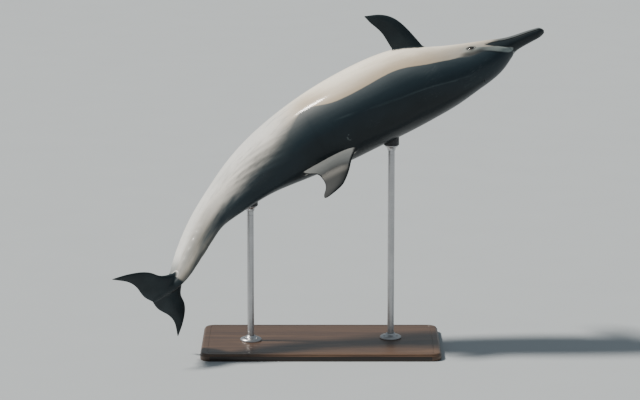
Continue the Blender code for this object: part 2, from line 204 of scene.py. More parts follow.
def half_sizes(back):
    """Height of the top, depth of the belly and half width at a station."""
    back = np.asarray(back, float)
    closed = 1 - np.clip(back / NOSE_RADIUS, 0, 1)
    nose = np.sqrt(1 - closed**2)
    top, belly, wide = top_of(back) * nose, BELLY(back) * nose, HALF_WIDTH(back) * nose
    chord = (back - FLUKE_ROOT_FRONT) / (NOTCH - FLUKE_ROOT_FRONT)
    ridge = RIDGE * FLUKE_ROOT_LEVEL * foil(chord) + RIDGE_LEAST
    on_tail = back > TAIL_START
    past = np.minimum(back, STOCK_END)
    top = np.where(on_tail, soft_larger(MELON_AND_BACK(past), ridge, TONGUE_ROUNDING), top)
    belly = np.where(on_tail, soft_larger(BELLY(past), ridge, TONGUE_ROUNDING), belly)
    beyond = blend_step(back, STOCK_END - STOCK_FADE, NOTCH)
    top, belly = top + (ridge - top) * beyond, belly + (ridge - belly) * beyond
    round_end = np.clip((back - TONGUE_START) / (NOTCH - TONGUE_START), 0, 1)
    tongue = TONGUE_WIDTH * np.sqrt(1 - round_end**2)
    wide = wide + (tongue - wide) * blend_step(back, TONGUE_NARROWS, TONGUE_START)
    return top, belly, wide


def section(back, angle):
    """Points of the body's surface at a station, by the angle from the left side up."""
    top, belly, wide = half_sizes(back)
    power = 2 / FULLNESS(back)
    across, along = np.cos(angle), np.sin(angle)
    left = wide * np.sign(across) * np.abs(across) ** power
    up = (top - belly) / 2 + (top + belly) / 2 * np.sign(along) * np.abs(along) ** power
    return np.stack([np.broadcast_to(back, left.shape), left, up], axis=-1)


def scaled(point):
    """A point's place across and along its station's section, each 1 at the surface's ends."""
    back, left, up = np.moveaxis(point, -1, 0)
    top, belly, wide = half_sizes(back)
    across = left / np.maximum(wide, 1e-7)
    along = (up - (top - belly) / 2) / np.maximum((top + belly) / 2, 1e-7)
    half_power = FULLNESS(back) / 2
    return np.sign(across) * np.abs(across) ** half_power, np.sign(along) * np.abs(along) ** half_power


def outside(point):
    """Above 0 where a point is outside the body."""
    across, along = scaled(point)
    return across**2 + along**2 - 1


def angle_of(point):
    """The angle round the body at which a point lies."""
    across, along = scaled(point)
    return np.arctan2(along, across)


def arc_per_angle(back, angle):
    """How far the surface moves for each radian round the body, as a share of the length."""
    ends = section(back, angle + ANGLE_STEP) - section(back, angle - ANGLE_STEP)
    return np.linalg.norm(ends, axis=-1) / (2 * ANGLE_STEP)


# The fins. Dorsal fin, flippers and flukes are thin, tapered blades with a rounded leading edge
# and a fine trailing edge. Each grows out of the body through a soft fillet, with no seam.
FIN_TIP_ROUND = 0.17  # share of the reach over which a tip closes
FIN_TIP_PLACE = 0.6  # where along the chord it closes to
FIN_LEAST = 0.0004  # least half thickness
ROOT_REACH = 0.06  # no root lies farther out along its fin than this
ROOT_HALVINGS = 40
FLUKE_FILLET = 0.45  # a fluke's largest fillet, as a share of its place off the middle


def fin_place(fin, span, share, face):
    """A point of a fin: how far out, what share of the chord back, and on which face."""
    span, share, face = np.broadcast_arrays(span, share, face)
    clear = np.maximum(span, 0)
    ahead, behind = fin["leading"](clear), fin["trailing"](clear)
    closing = np.clip((span / fin["reach"] - 1 + FIN_TIP_ROUND) / FIN_TIP_ROUND, 0, 1)
    closing = np.sqrt(1 - closing**2)
    middle = ahead + (behind - ahead) * FIN_TIP_PLACE
    chord = middle + (ahead + (behind - ahead) * share - middle) * closing
    level = foil(share) * face * np.maximum(fin["thick"](clear) * closing, FIN_LEAST)
    outward, backward = np.array(fin["outward"]), np.array(fin["backward"])
    across = np.cross(outward, backward)
    point = np.array(fin["root"]) + span[..., None] * outward
    return point + chord[..., None] * backward + level[..., None] * across


# A fin's edges and thickness are curves over its span, out from the root. "inside" is where that
# span starts in the body, "column" is the column of the hide's net that the fin grows from, and
# "chords" and "rows" count its own net.
DORSAL_FIN = dict(
    root=(0.441, 0.0, 0.0825),
    outward=(0.0, 0.0, 1.0),
    backward=(1.0, 0.0, 0.0),
    leading=smooth_curve(
        (0, 0.0),
        (0.010, 0.0094),
        (0.020, 0.0178),
        (0.0325, 0.0262),
        (0.045, 0.0355),
        (0.055, 0.0450),
        (0.063, 0.0545),
        (0.070, 0.0665),
        (0.0762, 0.0840),
    ),
    trailing=smooth_curve((0, 0.130), (0.010, 0.110), (0.030, 0.098), (0.056, 0.1030), (0.0762, 0.129)),
    thick=smooth_curve((0, 0.0095), (0.015, 0.0072), (0.045, 0.0052), (0.0762, 0.0022)),
    inside=-0.02,
    reach=0.0762,
    fillet=0.008,
    chords=40,
    rows=60,
    column=0,
)
FLIPPER = dict(
    root=(0.237, 0.047, -0.054),
    outward=(0.5, 0.6, -0.62),
    backward=(0.866, -0.346, 0.358),
    leading=smooth_curve((0, 0.0), (0.022, -0.005), (0.056, -0.011), (0.095, -0.006), (0.1295, 0.0185)),
    trailing=smooth_curve((0, 0.050), (0.050, 0.040), (0.080, 0.0285), (0.110, 0.0255), (0.1295, 0.0240)),
    thick=smooth_curve((0, 0.0095), (0.02, 0.0075), (0.05, 0.0055), (0.1295, 0.0016)),
    inside=-0.02,
    reach=0.1295,
    fillet=0.006,
    chords=22,
    rows=66,
    column=61,
)
FLUKE = dict(
    root=(0.0, 0.0, 0.0),
    outward=(0.0, 1.0, 0.0),
    backward=(1.0, 0.0, 0.0),
    leading=smooth_curve(
        (0, 0.910), (0.018, 0.933), (0.034, 0.949), (0.055, 0.957), (0.080, 0.973), (0.1155, 1.016)
    ),
    trailing=smooth_curve((0, NOTCH), (0.025, 1.004), (0.052, 1.000), (0.085, 1.004), (0.1155, 1.022)),
    thick=smooth_curve((0, FLUKE_ROOT_LEVEL), (0.02, 0.0066), (0.05, 0.0045), (0.1155, 0.0013)),
    inside=0.0,
    reach=0.1155,
    fillet=0.007,
    chords=34,
    rows=60,
    column=44,
)
FINS = {"dorsal": DORSAL_FIN, "flipper": FLIPPER, "fluke": FLUKE}


def fin_root(fin, side):
    """Along one face of a fin (side 1 or -1), where each chord line leaves the body, and the foot
    of the fillet beside it on the body, as (back, angle)."""
    count = fin["chords"]
    share = (1 - np.cos(np.linspace(0, np.pi, count + 1))) / 2
    face = np.full(count + 1, float(side))
    face[[0, -1]] = 0
    low, high = np.full(count + 1, fin["inside"]), np.full(count + 1, ROOT_REACH)
    for _ in range(ROOT_HALVINGS):
        middle = (low + high) / 2
        out = outside(fin_place(fin, middle, share, face)) > 0
        low, high = np.where(out, low, middle), np.where(out, middle, high)
    point = fin_place(fin, high, share, face)
    back, angle = point[:, 0], angle_of(point)
    metric = arc_per_angle(back, angle)
    run = np.stack([np.gradient(back), np.gradient(angle) * metric], axis=-1)
    out = np.stack([-run[:, 1], run[:, 0]], axis=-1)
    middle = count // 2
    away = np.sign(angle[middle] - angle[[0, -1]].mean())
    out *= away * np.sign(out[middle, 1])
    out[0], out[-1] = (-1, 0), (1, 0)
    radius = np.full(count + 1, fin["fillet"])
    if fin is FLUKE:
        out[:, 0] = np.minimum(out[:, 0], 0)
        radius = np.minimum(radius, FLUKE_FILLET * point[:, 1])
    out /= np.linalg.norm(out, axis=-1, keepdims=True) + 1e-12
    foot_back = back + out[:, 0] * radius
    foot_angle = angle + out[:, 1] * radius / np.maximum(metric, 1e-4)
    edge = dict(share=share, face=face, span=high, point=point)
    return dict(edge, radius=radius, back=foot_back, angle=foot_angle)


# The hide's net. Rings run round the body, closest together at the crease, the eye and the roots
# of the fins, and columns run from beak to notch. A slit opens in a column for each fin, whose
# own net starts on the slit's two lips. Only the left half is laid out, and then mirrored.
HALF_ROUND = 88  # columns from the middle of the back to the middle of the belly
SIDE_COLUMN = 44  # the column that follows the mouth, the eye and the flukes
SPREAD_LENGTH = (0.165, 0.235)  # over which the head's closer columns even out
MID_SIDE_LENGTH = (0.16, 0.28)  # over which the side column moves from the eye to mid-side
MOST_OFF_SIDE = 0.9  # how far up or down its section the side column may lie
CLOSER_BY_SIDE, SIDE_SHARE = 0.80, 0.33  # how much closer the head's columns lie, and over what
CLOSER_BY_MIDDLE, MIDDLE_SHARE = 0.60, 0.25
NOSE_RINGS = 9
HEAD_STEPS = (  # the step between rings, at a place
    (0.010, 0.0014),
    (0.055, 0.0017),
    (0.064, 0.0008),
    (0.082, 0.0008),
    (0.100, 0.0017),
    (0.128, 0.0014),
    (0.138, 0.0006),
    (0.160, 0.0006),
    (0.180, 0.0018),
    (0.230, 0.0028),
)
CHEST_STEPS = ((0.28, 0.0030), (0.34, 0.0046), (0.42, 0.0036))
LOIN_STEPS = ((0.58, 0.0036), (0.66, 0.0046), (0.90, 0.0030))


def side_angle(back):
    """The angle of the side column: on the mouth line, through the eye, then mid-side."""
    mouth = MOUTH_LINE(np.minimum(back, GAPE))
    height = mouth + (EYE_HEIGHT - mouth) * blend_step(back, GAPE, EYE_BACK)
    top, belly = top_of(back), BELLY(back)
    share = (height - (top - belly) / 2) / ((top + belly) / 2)
    share = np.clip(share, -MOST_OFF_SIDE, MOST_OFF_SIDE)
    angle = np.arcsin(np.sign(share) * np.abs(share) ** (FULLNESS(back) / 2))
    return angle * (1 - blend_step(back, *MID_SIDE_LENGTH))


even = np.linspace(0, 1, SIDE_COLUMN + 1)
gaps = 1 - CLOSER_BY_SIDE * np.exp(-((even / SIDE_SHARE) ** 2))
gaps -= CLOSER_BY_MIDDLE * np.exp(-(((1 - even) / MIDDLE_SHARE) ** 2))
close = np.concatenate([[0], np.cumsum((gaps[1:] + gaps[:-1]) / 2)])
close /= close[-1]


def ring_angles(back):
    """The angles of a ring's columns, from the middle of the back to the middle of the belly."""
    spread = close + (even - close) * blend_step(back, *SPREAD_LENGTH)
    side = side_angle(back)
    upper = side + (np.pi / 2 - side) * spread[::-1]
    lower = side - (np.pi / 2 + side) * spread[1:]
    return np.concatenate([upper, lower])


def rings_between(start, end, steps):
    """Ring places after start and before end, from (place, step) knots."""
    place, step = np.array(steps).T
    row = [start]
    while row[-1] < end:
        row.append(row[-1] + np.interp(row[-1], place, step))
    row = start + (np.array(row) - start) * (end - start) / (row[-1] - start)
    return row[1:-1]


roots = {}
for name, fin in FINS.items():
    sides = (1, 1) if fin is DORSAL_FIN else (-1, 1)
    roots[name] = [fin_root(fin, side) for side in sides]
slit_rings = {name: (lips[0]["back"] + lips[1]["back"]) / 2 for name, lips in roots.items()}
slit_rings["fluke"][-1] = NOTCH
ring_rows = [NOSE_RADIUS * (1 - np.cos(np.linspace(0, np.pi / 2, NOSE_RINGS)))]
for name, steps in (("flipper", HEAD_STEPS), ("dorsal", CHEST_STEPS), ("fluke", LOIN_STEPS)):
    start, end = ring_rows[-1][-1], slit_rings[name][0]
    ring_rows += [rings_between(start, end, steps), slit_rings[name]]
ring_places = np.concatenate(ring_rows)
ring_count = len(ring_places)
net_back = np.repeat(ring_places[:, None], HALF_ROUND + 1, axis=1)
net_angle = np.array([ring_angles(back) for back in ring_places])
lip_back, lip_angle = net_back.copy(), net_angle.copy()  # the lower lips of the slits


def lip_offset(target, nominal, first, reach):
    """How far a lip lies off its column, for every ring: fading out past the slit's ends."""
    offset = np.zeros(ring_count)
    last = first + len(target)
    offset[first:last] = target - nominal[first:last]
    before, after = np.arange(first), np.arange(last, ring_count)
    offset[:first] = offset[first] * hump(first - before, reach)
    offset[last:] = offset[last - 1] * hump(after - last + 1, reach)
    return offset


def fade(distance, reach, straight):
    """The share of a lip's offset that a column takes, by its distance from the slit."""
    share = np.clip(distance / reach, 0, 1)
    return 1 - share if straight else (1 - share) ** 2 * (1 + 2 * share)


LIP_FADE_RINGS = 12  # over which a slit's lips fade out past its ends
FLUKE_FADE_RINGS = 16
DORSAL_FADE_COLUMNS = 34  # over which the dorsal slit's offset fades out down the side
columns = np.arange(HALF_ROUND + 1)
slits = {}
for name, fin in FINS.items():
    column, lips = fin["column"], roots[name]
    first = int(np.argmin(np.abs(ring_places - slit_rings[name][0])))
    slits[name] = (first, first + fin["chords"])
    reach = FLUKE_FADE_RINGS if fin is FLUKE else LIP_FADE_RINGS
    nominal = net_angle[:, column].copy()
    offsets = []
    for lip in lips:
        off_back = lip_offset(lip["back"], ring_places, first, reach)
        offsets.append((off_back, lip_offset(lip["angle"], nominal, first, reach)))
    straight = fin is FLUKE
    above = fade(column - columns, max(column, 1), straight) * (columns <= column)
    below_reach = DORSAL_FADE_COLUMNS if fin is DORSAL_FIN else HALF_ROUND - column
    below = fade(columns - column, below_reach, straight) * (columns > column)
    if fin is DORSAL_FIN:
        below[0], above[0] = 1, 0
    for net, lip, part in ((net_back, lip_back, 0), (net_angle, lip_angle, 1)):
        lip[:, column] = net[:, column] + offsets[1][part]
        net += offsets[0][part][:, None] * above + offsets[1][part][:, None] * below

# Points and faces of the left half: two poles, the rings, the slits' lower lips, then the fins.
# A fin's own rows start on its slit, rise over the fillet and close at the tip.
FILLET_ROWS = 6
FILLET_RISE = 1.5  # a fillet's way along its curve, for its radius
FILLET_LEAST = 0.002  # least way from a fin's root to its first free row
LAST_ROW = 0.998  # share of the reach at which a fin's rows end
inner = slice(1, ring_count - 1)
body_points = section(net_back[inner], net_angle[inner])
body_points[:, -1, 1] = 0
dorsal_first, dorsal_last = slits["dorsal"]
middle_rows = [i for i in range(1, ring_count - 1) if not dorsal_first < i < dorsal_last]
body_points[np.array(middle_rows) - 1, 0, 1] = 0
points = [np.array([[0.0, 0.0, 0.0], [NOTCH, 0.0, 0.0]]), body_points.reshape(-1, 3)]
upper_net = np.zeros((ring_count, HALF_ROUND + 1), int)
upper_net[inner] = 2 + np.arange((ring_count - 2) * (HALF_ROUND + 1)).reshape(ring_count - 2, -1)
upper_net[-1] = 1
lower_net = upper_net.copy()
total = 2 + (ring_count - 2) * (HALF_ROUND + 1)
for name in ("flipper", "fluke"):
    first, last = slits[name]
    rows = np.arange(first + 1, last)
    column = FINS[name]["column"]
    points.append(section(lip_back[rows, column], lip_angle[rows, column]))
    lower_net[rows, column] = total + np.arange(len(rows))
    total += len(rows)

faces = []


def add_face(*corners):
    """Adds a face between points given by number, and drops a corner that comes twice."""
    faces.append(tuple(dict.fromkeys(int(corner) for corner in corners)))


for i in range(ring_count - 1):
    for j in range(HALF_ROUND):
        add_face(lower_net[i, j], lower_net[i + 1, j], upper_net[i + 1, j + 1], upper_net[i, j + 1])

fin_kinds = [np.zeros(total)]
fin_ways = [np.zeros((total, 3))]  # out from the root, and off the leading and trailing edges
for kind, (name, fin) in enumerate(FINS.items(), 1):
    first, last = slits[name]
    column = fin["column"]
    root, lower = roots[name]
    loop = upper_net[first : last + 1, column]
    if fin is not DORSAL_FIN:
        loop = np.concatenate([loop, lower_net[first + 1 : last, column][::-1]])
        root = {key: np.concatenate([root[key], lower[key][1:-1][::-1]]) for key in root}
    around = len(loop)
    foot = section(root["back"], root["angle"])
    if fin is FLUKE:
        foot[last - first] = (NOTCH, 0, 0)
    if fin is DORSAL_FIN:
        foot[[0, -1], 1] = 0
    start = root["span"] + np.maximum(root["radius"], FILLET_LEAST)
    shoulder = fin_place(fin, start, root["share"], root["face"])
    rings, ways = [], []
    for step in range(1, FILLET_ROWS + 1):
        part = step / FILLET_ROWS
        curve = (1 - part) ** 2 * foot + 2 * part * (1 - part) * root["point"] + part**2 * shoulder
        rings.append(curve)
        ways.append(part * FILLET_RISE * root["radius"])
    for part in np.linspace(0, np.pi / 2, fin["rows"] + 1)[1:]:
        span = start + (fin["reach"] * LAST_ROW - start) * np.sin(part)
        rings.append(fin_place(fin, span, root["share"], root["face"]))
        ways.append(FILLET_RISE * root["radius"] + span - start)
    if fin is DORSAL_FIN:
        rings.append(fin_place(fin, span, root["share"], 0))
        ways.append(ways[-1])
    rows = len(rings)
    numbers = np.concatenate([loop[None], total + np.arange(rows * around).reshape(rows, around)])
    if fin is DORSAL_FIN:
        numbers[-1, [0, -1]] = numbers[-2, [0, -1]]
    steps = around - 1 if fin is DORSAL_FIN else around
    for i in range(rows):
        for j in range(steps):
            after = (j + 1) % around
            add_face(numbers[i, j], numbers[i, after], numbers[i + 1, after], numbers[i + 1, j])
    if fin is not DORSAL_FIN:
        for j in range(around // 2):
            across = [j, j + 1, (around - j - 1) % around, (around - j) % around]
            add_face(*numbers[-1, across])
    points.append(np.concatenate(rings))
    way = np.concatenate(ways)
    share = np.tile(root["share"], rows)
    on_fin = points[-1] - np.array(fin["root"])
    span = np.clip(on_fin @ np.array(fin["outward"]), 0, fin["reach"])
    chord = fin["trailing"](span) - fin["leading"](span)
    fin_ways.append(np.column_stack([way, share * chord, (1 - share) * chord]))
    fin_kinds.append(np.full(rows * around, float(kind)))
    total += rows * around

points, fin_way, fin_kind = (np.concatenate(rows) for rows in (points, fin_ways, fin_kinds))

# The eyelids have a net of their own. The hide's squares round the eye are taken out, and rings
# run in from that hole to the lids' rim, over it, and down behind the eyeball to a closing point.
EYE_RADIUS = 0.0135
EYE_PROUD = 0.0030  # how far the ball stands out of the smooth head
EYE_LONG, EYE_TALL = 0.0105, 0.0066  # half the opening, along the body and across it
EYE_TILT = math.radians(8.0)
HEAD_ROUND = 0.080  # how the cheek curves across the eye
EYE_CORNERS = 0.4  # how far the opening is drawn to a point at its corners
LID_REACH = 0.0095  # how far the lids' folds reach off the rim
HOLE_REACH = 0.0115
LID_THICK = 0.0011
LID_STEPS = (8, 7, 6.2, 5.4, 4.6, 4, 3.4, 2.8, 2.2, 1.6, 1, 0.5, 0.15, -0.1, -0.35, -0.8, -1.6)  # mm
LID_EDGE = ((-0.0016, -0.0030), (-0.0008, -0.0012), (-0.00035, 0.0001), (-0.0001, 0.0008), (0, LID_THICK))
LID_FOLD = ((-0.0008, 0.0034, 0.0011), (0.0009, 0.0058, 0.0020))  # rise, place and width
LID_FALL = (0.0003, 0.0085)  # off the rim, over which the lids sink to the cheek
LID_FADE = (0.008, LID_REACH)
SEARCH = 161  # places tried along and across the cheek
SEARCH_BACK, SEARCH_ANGLE = 0.004, 0.1
SPOKE_ROUNDING = 13  # keeps neighbouring spokes apart
along_tilt, across_tilt = math.cos(EYE_TILT), math.sin(EYE_TILT)
eye_angle = float(side_angle(np.array(EYE_BACK)))
at_eye = section(np.array(EYE_BACK), np.array([eye_angle, eye_angle + 2 * ANGLE_STEP]))
up_cheek = at_eye[1] - at_eye[0]
out_of_cheek = np.array([0, up_cheek[2], -up_cheek[1]]) / np.hypot(up_cheek[1], up_cheek[2])
eye_middle = at_eye[0] - out_of_cheek * (EYE_RADIUS - EYE_PROUD) / LENGTH

# The opening lies over the ball's middle, where the tapering cheek comes closest to it.
near_back = EYE_BACK + np.linspace(-SEARCH_BACK, SEARCH_BACK, SEARCH)[:, None]
near_angle = eye_angle + np.linspace(-SEARCH_ANGLE, SEARCH_ANGLE, SEARCH)
near = section(near_back, near_angle)
away = np.linalg.norm(near - eye_middle, axis=-1)
row, column = np.unravel_index(away.argmin(), away.shape)
lid_back, lid_angle = float(near_back[row, 0]), float(near_angle[column])
gaze_straight = (near[row, column] - eye_middle) / away[row, column]
eye_depth = away[row, column] * LENGTH
eye_metric = float(arc_per_angle(np.array([lid_back]), np.array([lid_angle]))[0]) * LENGTH


def over_ball(along, upward):
    """Height of the eyeball's surface over the smooth head, near the eye's middle."""
    return np.sqrt(EYE_RADIUS**2 - along**2 - upward**2) - eye_depth + upward**2 / 2 / HEAD_ROUND


ahead = (lid_back - points[:, 0]) * LENGTH
above = (angle_of(points) - lid_angle) * eye_metric
along = ahead * along_tilt + above * across_tilt
upward = above * along_tilt - ahead * across_tilt
long_reach, tall_reach = EYE_LONG + HOLE_REACH, EYE_TALL + HOLE_REACH
in_hole = (np.hypot(along / long_reach, upward / tall_reach) < 1) & (fin_kind == 0)
taken = [face for face in faces if all(in_hole[corner] for corner in face)]
faces = [face for face in faces if not all(in_hole[corner] for corner in face)]
edges = {edge for face in taken for edge in zip(face, face[1:] + face[:1])}
onward = {start: end for start, end in edges if (end, start) not in edges}
loop = [min(onward)]
while onward[loop[-1]] != loop[0]:
    loop.append(onward[loop[-1]])
around = len(loop)
theta = np.unwrap(np.arctan2(upward[loop] / tall_reach, along[loop] / long_reach))
spokes = theta[0] + np.arange(around) * np.sign(theta[-1] - theta[0]) * 2 * np.pi / around
uneven = np.tile(theta - spokes, 3)
rounding = np.hanning(SPOKE_ROUNDING) / np.hanning(SPOKE_ROUNDING).sum()
theta = spokes + np.convolve(uneven, rounding, mode="same")[around : 2 * around]
lid_place = [np.full(len(points), LID_REACH)]
lid_ball = [np.zeros(len(points))]
lids = []
lower = loop
for step in LID_STEPS:
    out = step / 1000
    drawn = EYE_CORNERS * (1 - max(out, 0) / LID_REACH)
    round_eye = np.sin(theta) * np.abs(np.sin(theta)) ** drawn
    rim = over_ball(EYE_LONG * np.cos(theta), EYE_TALL * round_eye)
    along, upward = (EYE_LONG + out) * np.cos(theta), (EYE_TALL + out) * round_eye
    ahead = along * along_tilt - upward * across_tilt
    above = along * across_tilt + upward * along_tilt
    lids.append(section(lid_back - ahead / LENGTH, lid_angle + above / eye_metric))
    lid_place.append(np.full(around, out))
    lid_ball.append(rim if out > 0 else over_ball(along, upward))
    upper = list(range(total, total + around))
    total += around
    for k in range(around):
        add_face(lower[k], lower[(k + 1) % around], upper[(k + 1) % around], upper[k])
    lower = upper
for k in range(around):
    add_face(lower[k], lower[(k + 1) % around], total)
lids.append(section(np.array([lid_back]), np.array([lid_angle])))
lid_place.append(np.full(1, LID_EDGE[0][0]))
lid_ball.append(np.full(1, EYE_RADIUS - eye_depth))
total += 1
points = np.concatenate([points, *lids])
lid_place, lid_ball = np.concatenate(lid_place), np.concatenate(lid_ball)
fin_way = np.concatenate([fin_way, np.zeros((total - len(fin_way), 3))])
fin_kind = np.concatenate([fin_kind, np.zeros(total - len(fin_kind))])

# The right half mirrors the left and shares the points of the middle plane with it. Points that
# no face needs are dropped.
ON_MIDDLE = 1e-9  # a point nearer the middle plane than this lies on it
used = np.zeros(total, bool)
used[[corner for face in faces for corner in face]] = True
off_middle = used & (np.abs(points[:, 1]) > ON_MIDDLE)
points[~off_middle, 1] = 0
left_number = np.cumsum(used) - 1
right_number = np.where(off_middle, used.sum() + np.cumsum(off_middle) - 1, left_number)
faces = [tuple(int(left_number[corner]) for corner in face) for face in faces] + [
    tuple(int(right_number[corner]) for corner in reversed(face)) for face in faces
]
points = np.concatenate([points[used], points[off_middle] * (1, -1, 1)])
both_sides = [
    np.concatenate([values[used], values[off_middle]])
    for values in (fin_way, fin_kind, lid_place, lid_ball)
]
fin_way, fin_kind, lid_place, lid_ball = both_sides


def face_out(mesh, weld=0):
    """Turns a mesh's faces outward, and first joins points that lie within a distance."""
    net = bmesh.new()
    net.from_mesh(mesh)
    if weld:
        bmesh.ops.remove_doubles(net, verts=net.verts, dist=weld)
    bmesh.ops.recalc_face_normals(net, faces=net.faces)
    net.to_mesh(mesh)
    net.free()


hide_mesh = bpy.data.meshes.new("hide")
hide_mesh.from_pydata((points * LENGTH).tolist(), [], faces)
face_out(hide_mesh)
normals = np.zeros(len(points) * 3)
hide_mesh.vertices.foreach_get("normal", normals)
normals = normals.reshape(-1, 3)

# Folds and openings, in metres off the smooth form: the shut mouth between its lips, the crease
# before the melon, the blowhole, the lids, the throat's fold, the navel and the vent, and the
# long ripples and fine wrinkles of the flexed stock.
back = points[:, 0]
angle = angle_of(np.abs(points) * (0, 1, 0) + points * (1, 0, 1))
metric = arc_per_angle(back, angle) * LENGTH
degrees = np.degrees(angle)
on_body = fin_kind == 0
on_left = points[:, 1] >= 0
sideways = points[:, 1] * LENGTH
rise = np.zeros(len(points))


def ridge(distance, width):
    """A soft ridge, 1 along its line."""
    return np.exp(-((distance / width) ** 2))


GROOVE_DEPTH, GROOVE_WIDTH = 0.0020, 0.0011
LIP_RISE, LIP_PLACE, LIP_WIDTH = 0.0008, 0.0038, 0.0026
MOUTH_FADE = (GAPE - 0.009, GAPE + 0.001)
from_mouth = (angle - side_angle(back)) * metric
shut = (1 - blend_step(back, *MOUTH_FADE)) * on_body
groove = ridge(from_mouth, GROOVE_WIDTH) * shut
rise += shut * LIP_RISE * ridge(np.abs(from_mouth) - LIP_PLACE, LIP_WIDTH) - GROOVE_DEPTH * groove

CREASE_BACK, CREASE_SLANT, CREASE_BOW = 0.0715, 0.026, 1.4  # it slants back down the sides
CREASE_DEPTH, CREASE_WIDTH = 0.0026, 0.0036
BROW_RISE, BROW_PLACE, BROW_WIDTH = 0.0010, 0.010, 0.007
CREASE_FADE = (2, 30)  # degrees
crease_back = CREASE_BACK + CREASE_SLANT * np.clip(1 - np.sin(angle), 0, 1) ** CREASE_BOW
from_crease = (back - crease_back) * LENGTH
crease = blend_step(degrees, *CREASE_FADE) * on_body
rise += crease * BROW_RISE * ridge(from_crease - BROW_PLACE, BROW_WIDTH)
rise -= crease * CREASE_DEPTH * ridge(from_crease, CREASE_WIDTH)

BLOWHOLE_BACK = 0.150
BLOWHOLE_NEAR, BLOWHOLE_LOWEST = 0.02, 45  # nothing of it lies farther off or lower than this
BLOWHOLE_BOW, BLOWHOLE_HALF, BLOWHOLE_ENDS = 0.006, 0.014, 0.019
SLIT_DEPTH, SLIT_WIDTH = 0.0032, 0.0017
SLIT_LIPS = ((0.0012, -0.0045), (0.0007, 0.0045))  # rise, and place off the slit
SLIT_LIP_WIDTH = 0.003
on_top = on_body & (degrees > BLOWHOLE_LOWEST) & (np.abs(back - BLOWHOLE_BACK) < BLOWHOLE_NEAR)
arc = (BLOWHOLE_BACK - back) * LENGTH - BLOWHOLE_BOW * (sideways / BLOWHOLE_HALF) ** 2
lip = hump(sideways, BLOWHOLE_ENDS) * on_top
blowhole = ridge(arc, SLIT_WIDTH) * lip
rise -= SLIT_DEPTH * blowhole
for amount, place in SLIT_LIPS:
    rise += lip * amount * ridge(arc - place, SLIT_LIP_WIDTH)

from_rim = np.maximum(lid_place, 0)
height = (lid_ball + LID_THICK) * (1 - blend_step(from_rim, *LID_FALL))
for amount, place, width in LID_FOLD:
    height += amount * ridge(from_rim - place, width)
edge_place, edge_height = np.array(LID_EDGE).T
height = np.where(lid_place < 0, lid_ball + np.interp(lid_place, edge_place, edge_height), height)
height *= 1 - blend_step(from_rim, *LID_FADE)

THROAT_BACK, THROAT_SLANT, THROAT_WIDTH, THROAT_DEPTH = 0.207, 0.02, 0.0045, 0.0011
THROAT_FADE = (15, 60)  # degrees below mid-side
below = blend_step(-degrees, *THROAT_FADE) * on_body
throat = ridge(back - THROAT_BACK - THROAT_SLANT * below, THROAT_WIDTH) * below
rise -= THROAT_DEPTH * throat

BELLY_LINE_WIDTH, BELLY_LINE_DEPTH = 0.0035, 0.0022
NAVEL_BACK, NAVEL_HALF = 0.470, 0.016
VENT_SLITS = ((0.640, 0.024), (0.676, 0.006))  # place and half length
VENT_ENDS = 0.3  # how bluntly its slits end
belly_line = ridge(sideways, BELLY_LINE_WIDTH) * (angle < 0) * on_body
navel = belly_line * hump((back - NAVEL_BACK) * LENGTH, NAVEL_HALF)
vent = sum(hump(back - place, half_length) for place, half_length in VENT_SLITS)
vent = belly_line * np.clip(vent, 0, 1) ** VENT_ENDS
rise -= BELLY_LINE_DEPTH * np.maximum(navel, vent)

RIPPLE_RISE, WRINKLE_RISE, SWELL_RISE = 0.0007, 0.0003, 0.0005
RIPPLE_STEP, RIPPLE_SLANT, STOCK_RADIUS = 0.0052, 0.35, 0.075
RIPPLE_ORIGIN, RIPPLE_BACK, RIPPLE_REACH = 0.55, 0.645, 0.12
RIPPLE_ANGLE, RIPPLE_ROUND = 0.35, 0.75  # radians
WRINKLE_BACK, WRINKLE_REACH = 0.86, 0.10
SWELL_FADE = (0.17, 0.26)
ripple_way = angle * STOCK_RADIUS * LENGTH + RIPPLE_SLANT * (back - RIPPLE_ORIGIN)
ripple = np.sin(ripple_way / RIPPLE_STEP + 3 * np.sin(9 * back))
ripple = ripple * hump(back - RIPPLE_BACK, RIPPLE_REACH) * hump(angle - RIPPLE_ANGLE, RIPPLE_ROUND)
rise += RIPPLE_RISE * ripple * on_body
wrinkle = np.sin(back * 330 + 2.2 * np.sin(4 * angle) + 1.3 * np.sin(61 * back))
rise += WRINKLE_RISE * wrinkle * hump(back - WRINKLE_BACK, WRINKLE_REACH) * on_body
swell = np.sin(31 * back + 2 * angle) * np.sin(17 * back - 3 * angle + 1)
swell += np.sin(7 * angle + 43 * back)
rise += SWELL_RISE * swell * on_body * blend_step(back, *SWELL_FADE)
rise = np.where(from_rim < LID_REACH, height, rise)
laid = points + normals * rise[:, None] / LENGTH

# The upper beak's tip falls away, so that the lower one juts out a little.
TIP_LENGTH, TIP_FALL = 0.019, 0.55
TIP_HEIGHTS = (-0.0012, 0.0090)  # the lower beak stays as it is, and the upper falls most on top
laid[:, 0] += TIP_FALL * np.maximum(TIP_LENGTH - back, 0) * blend_step(points[:, 2], *TIP_HEIGHTS)

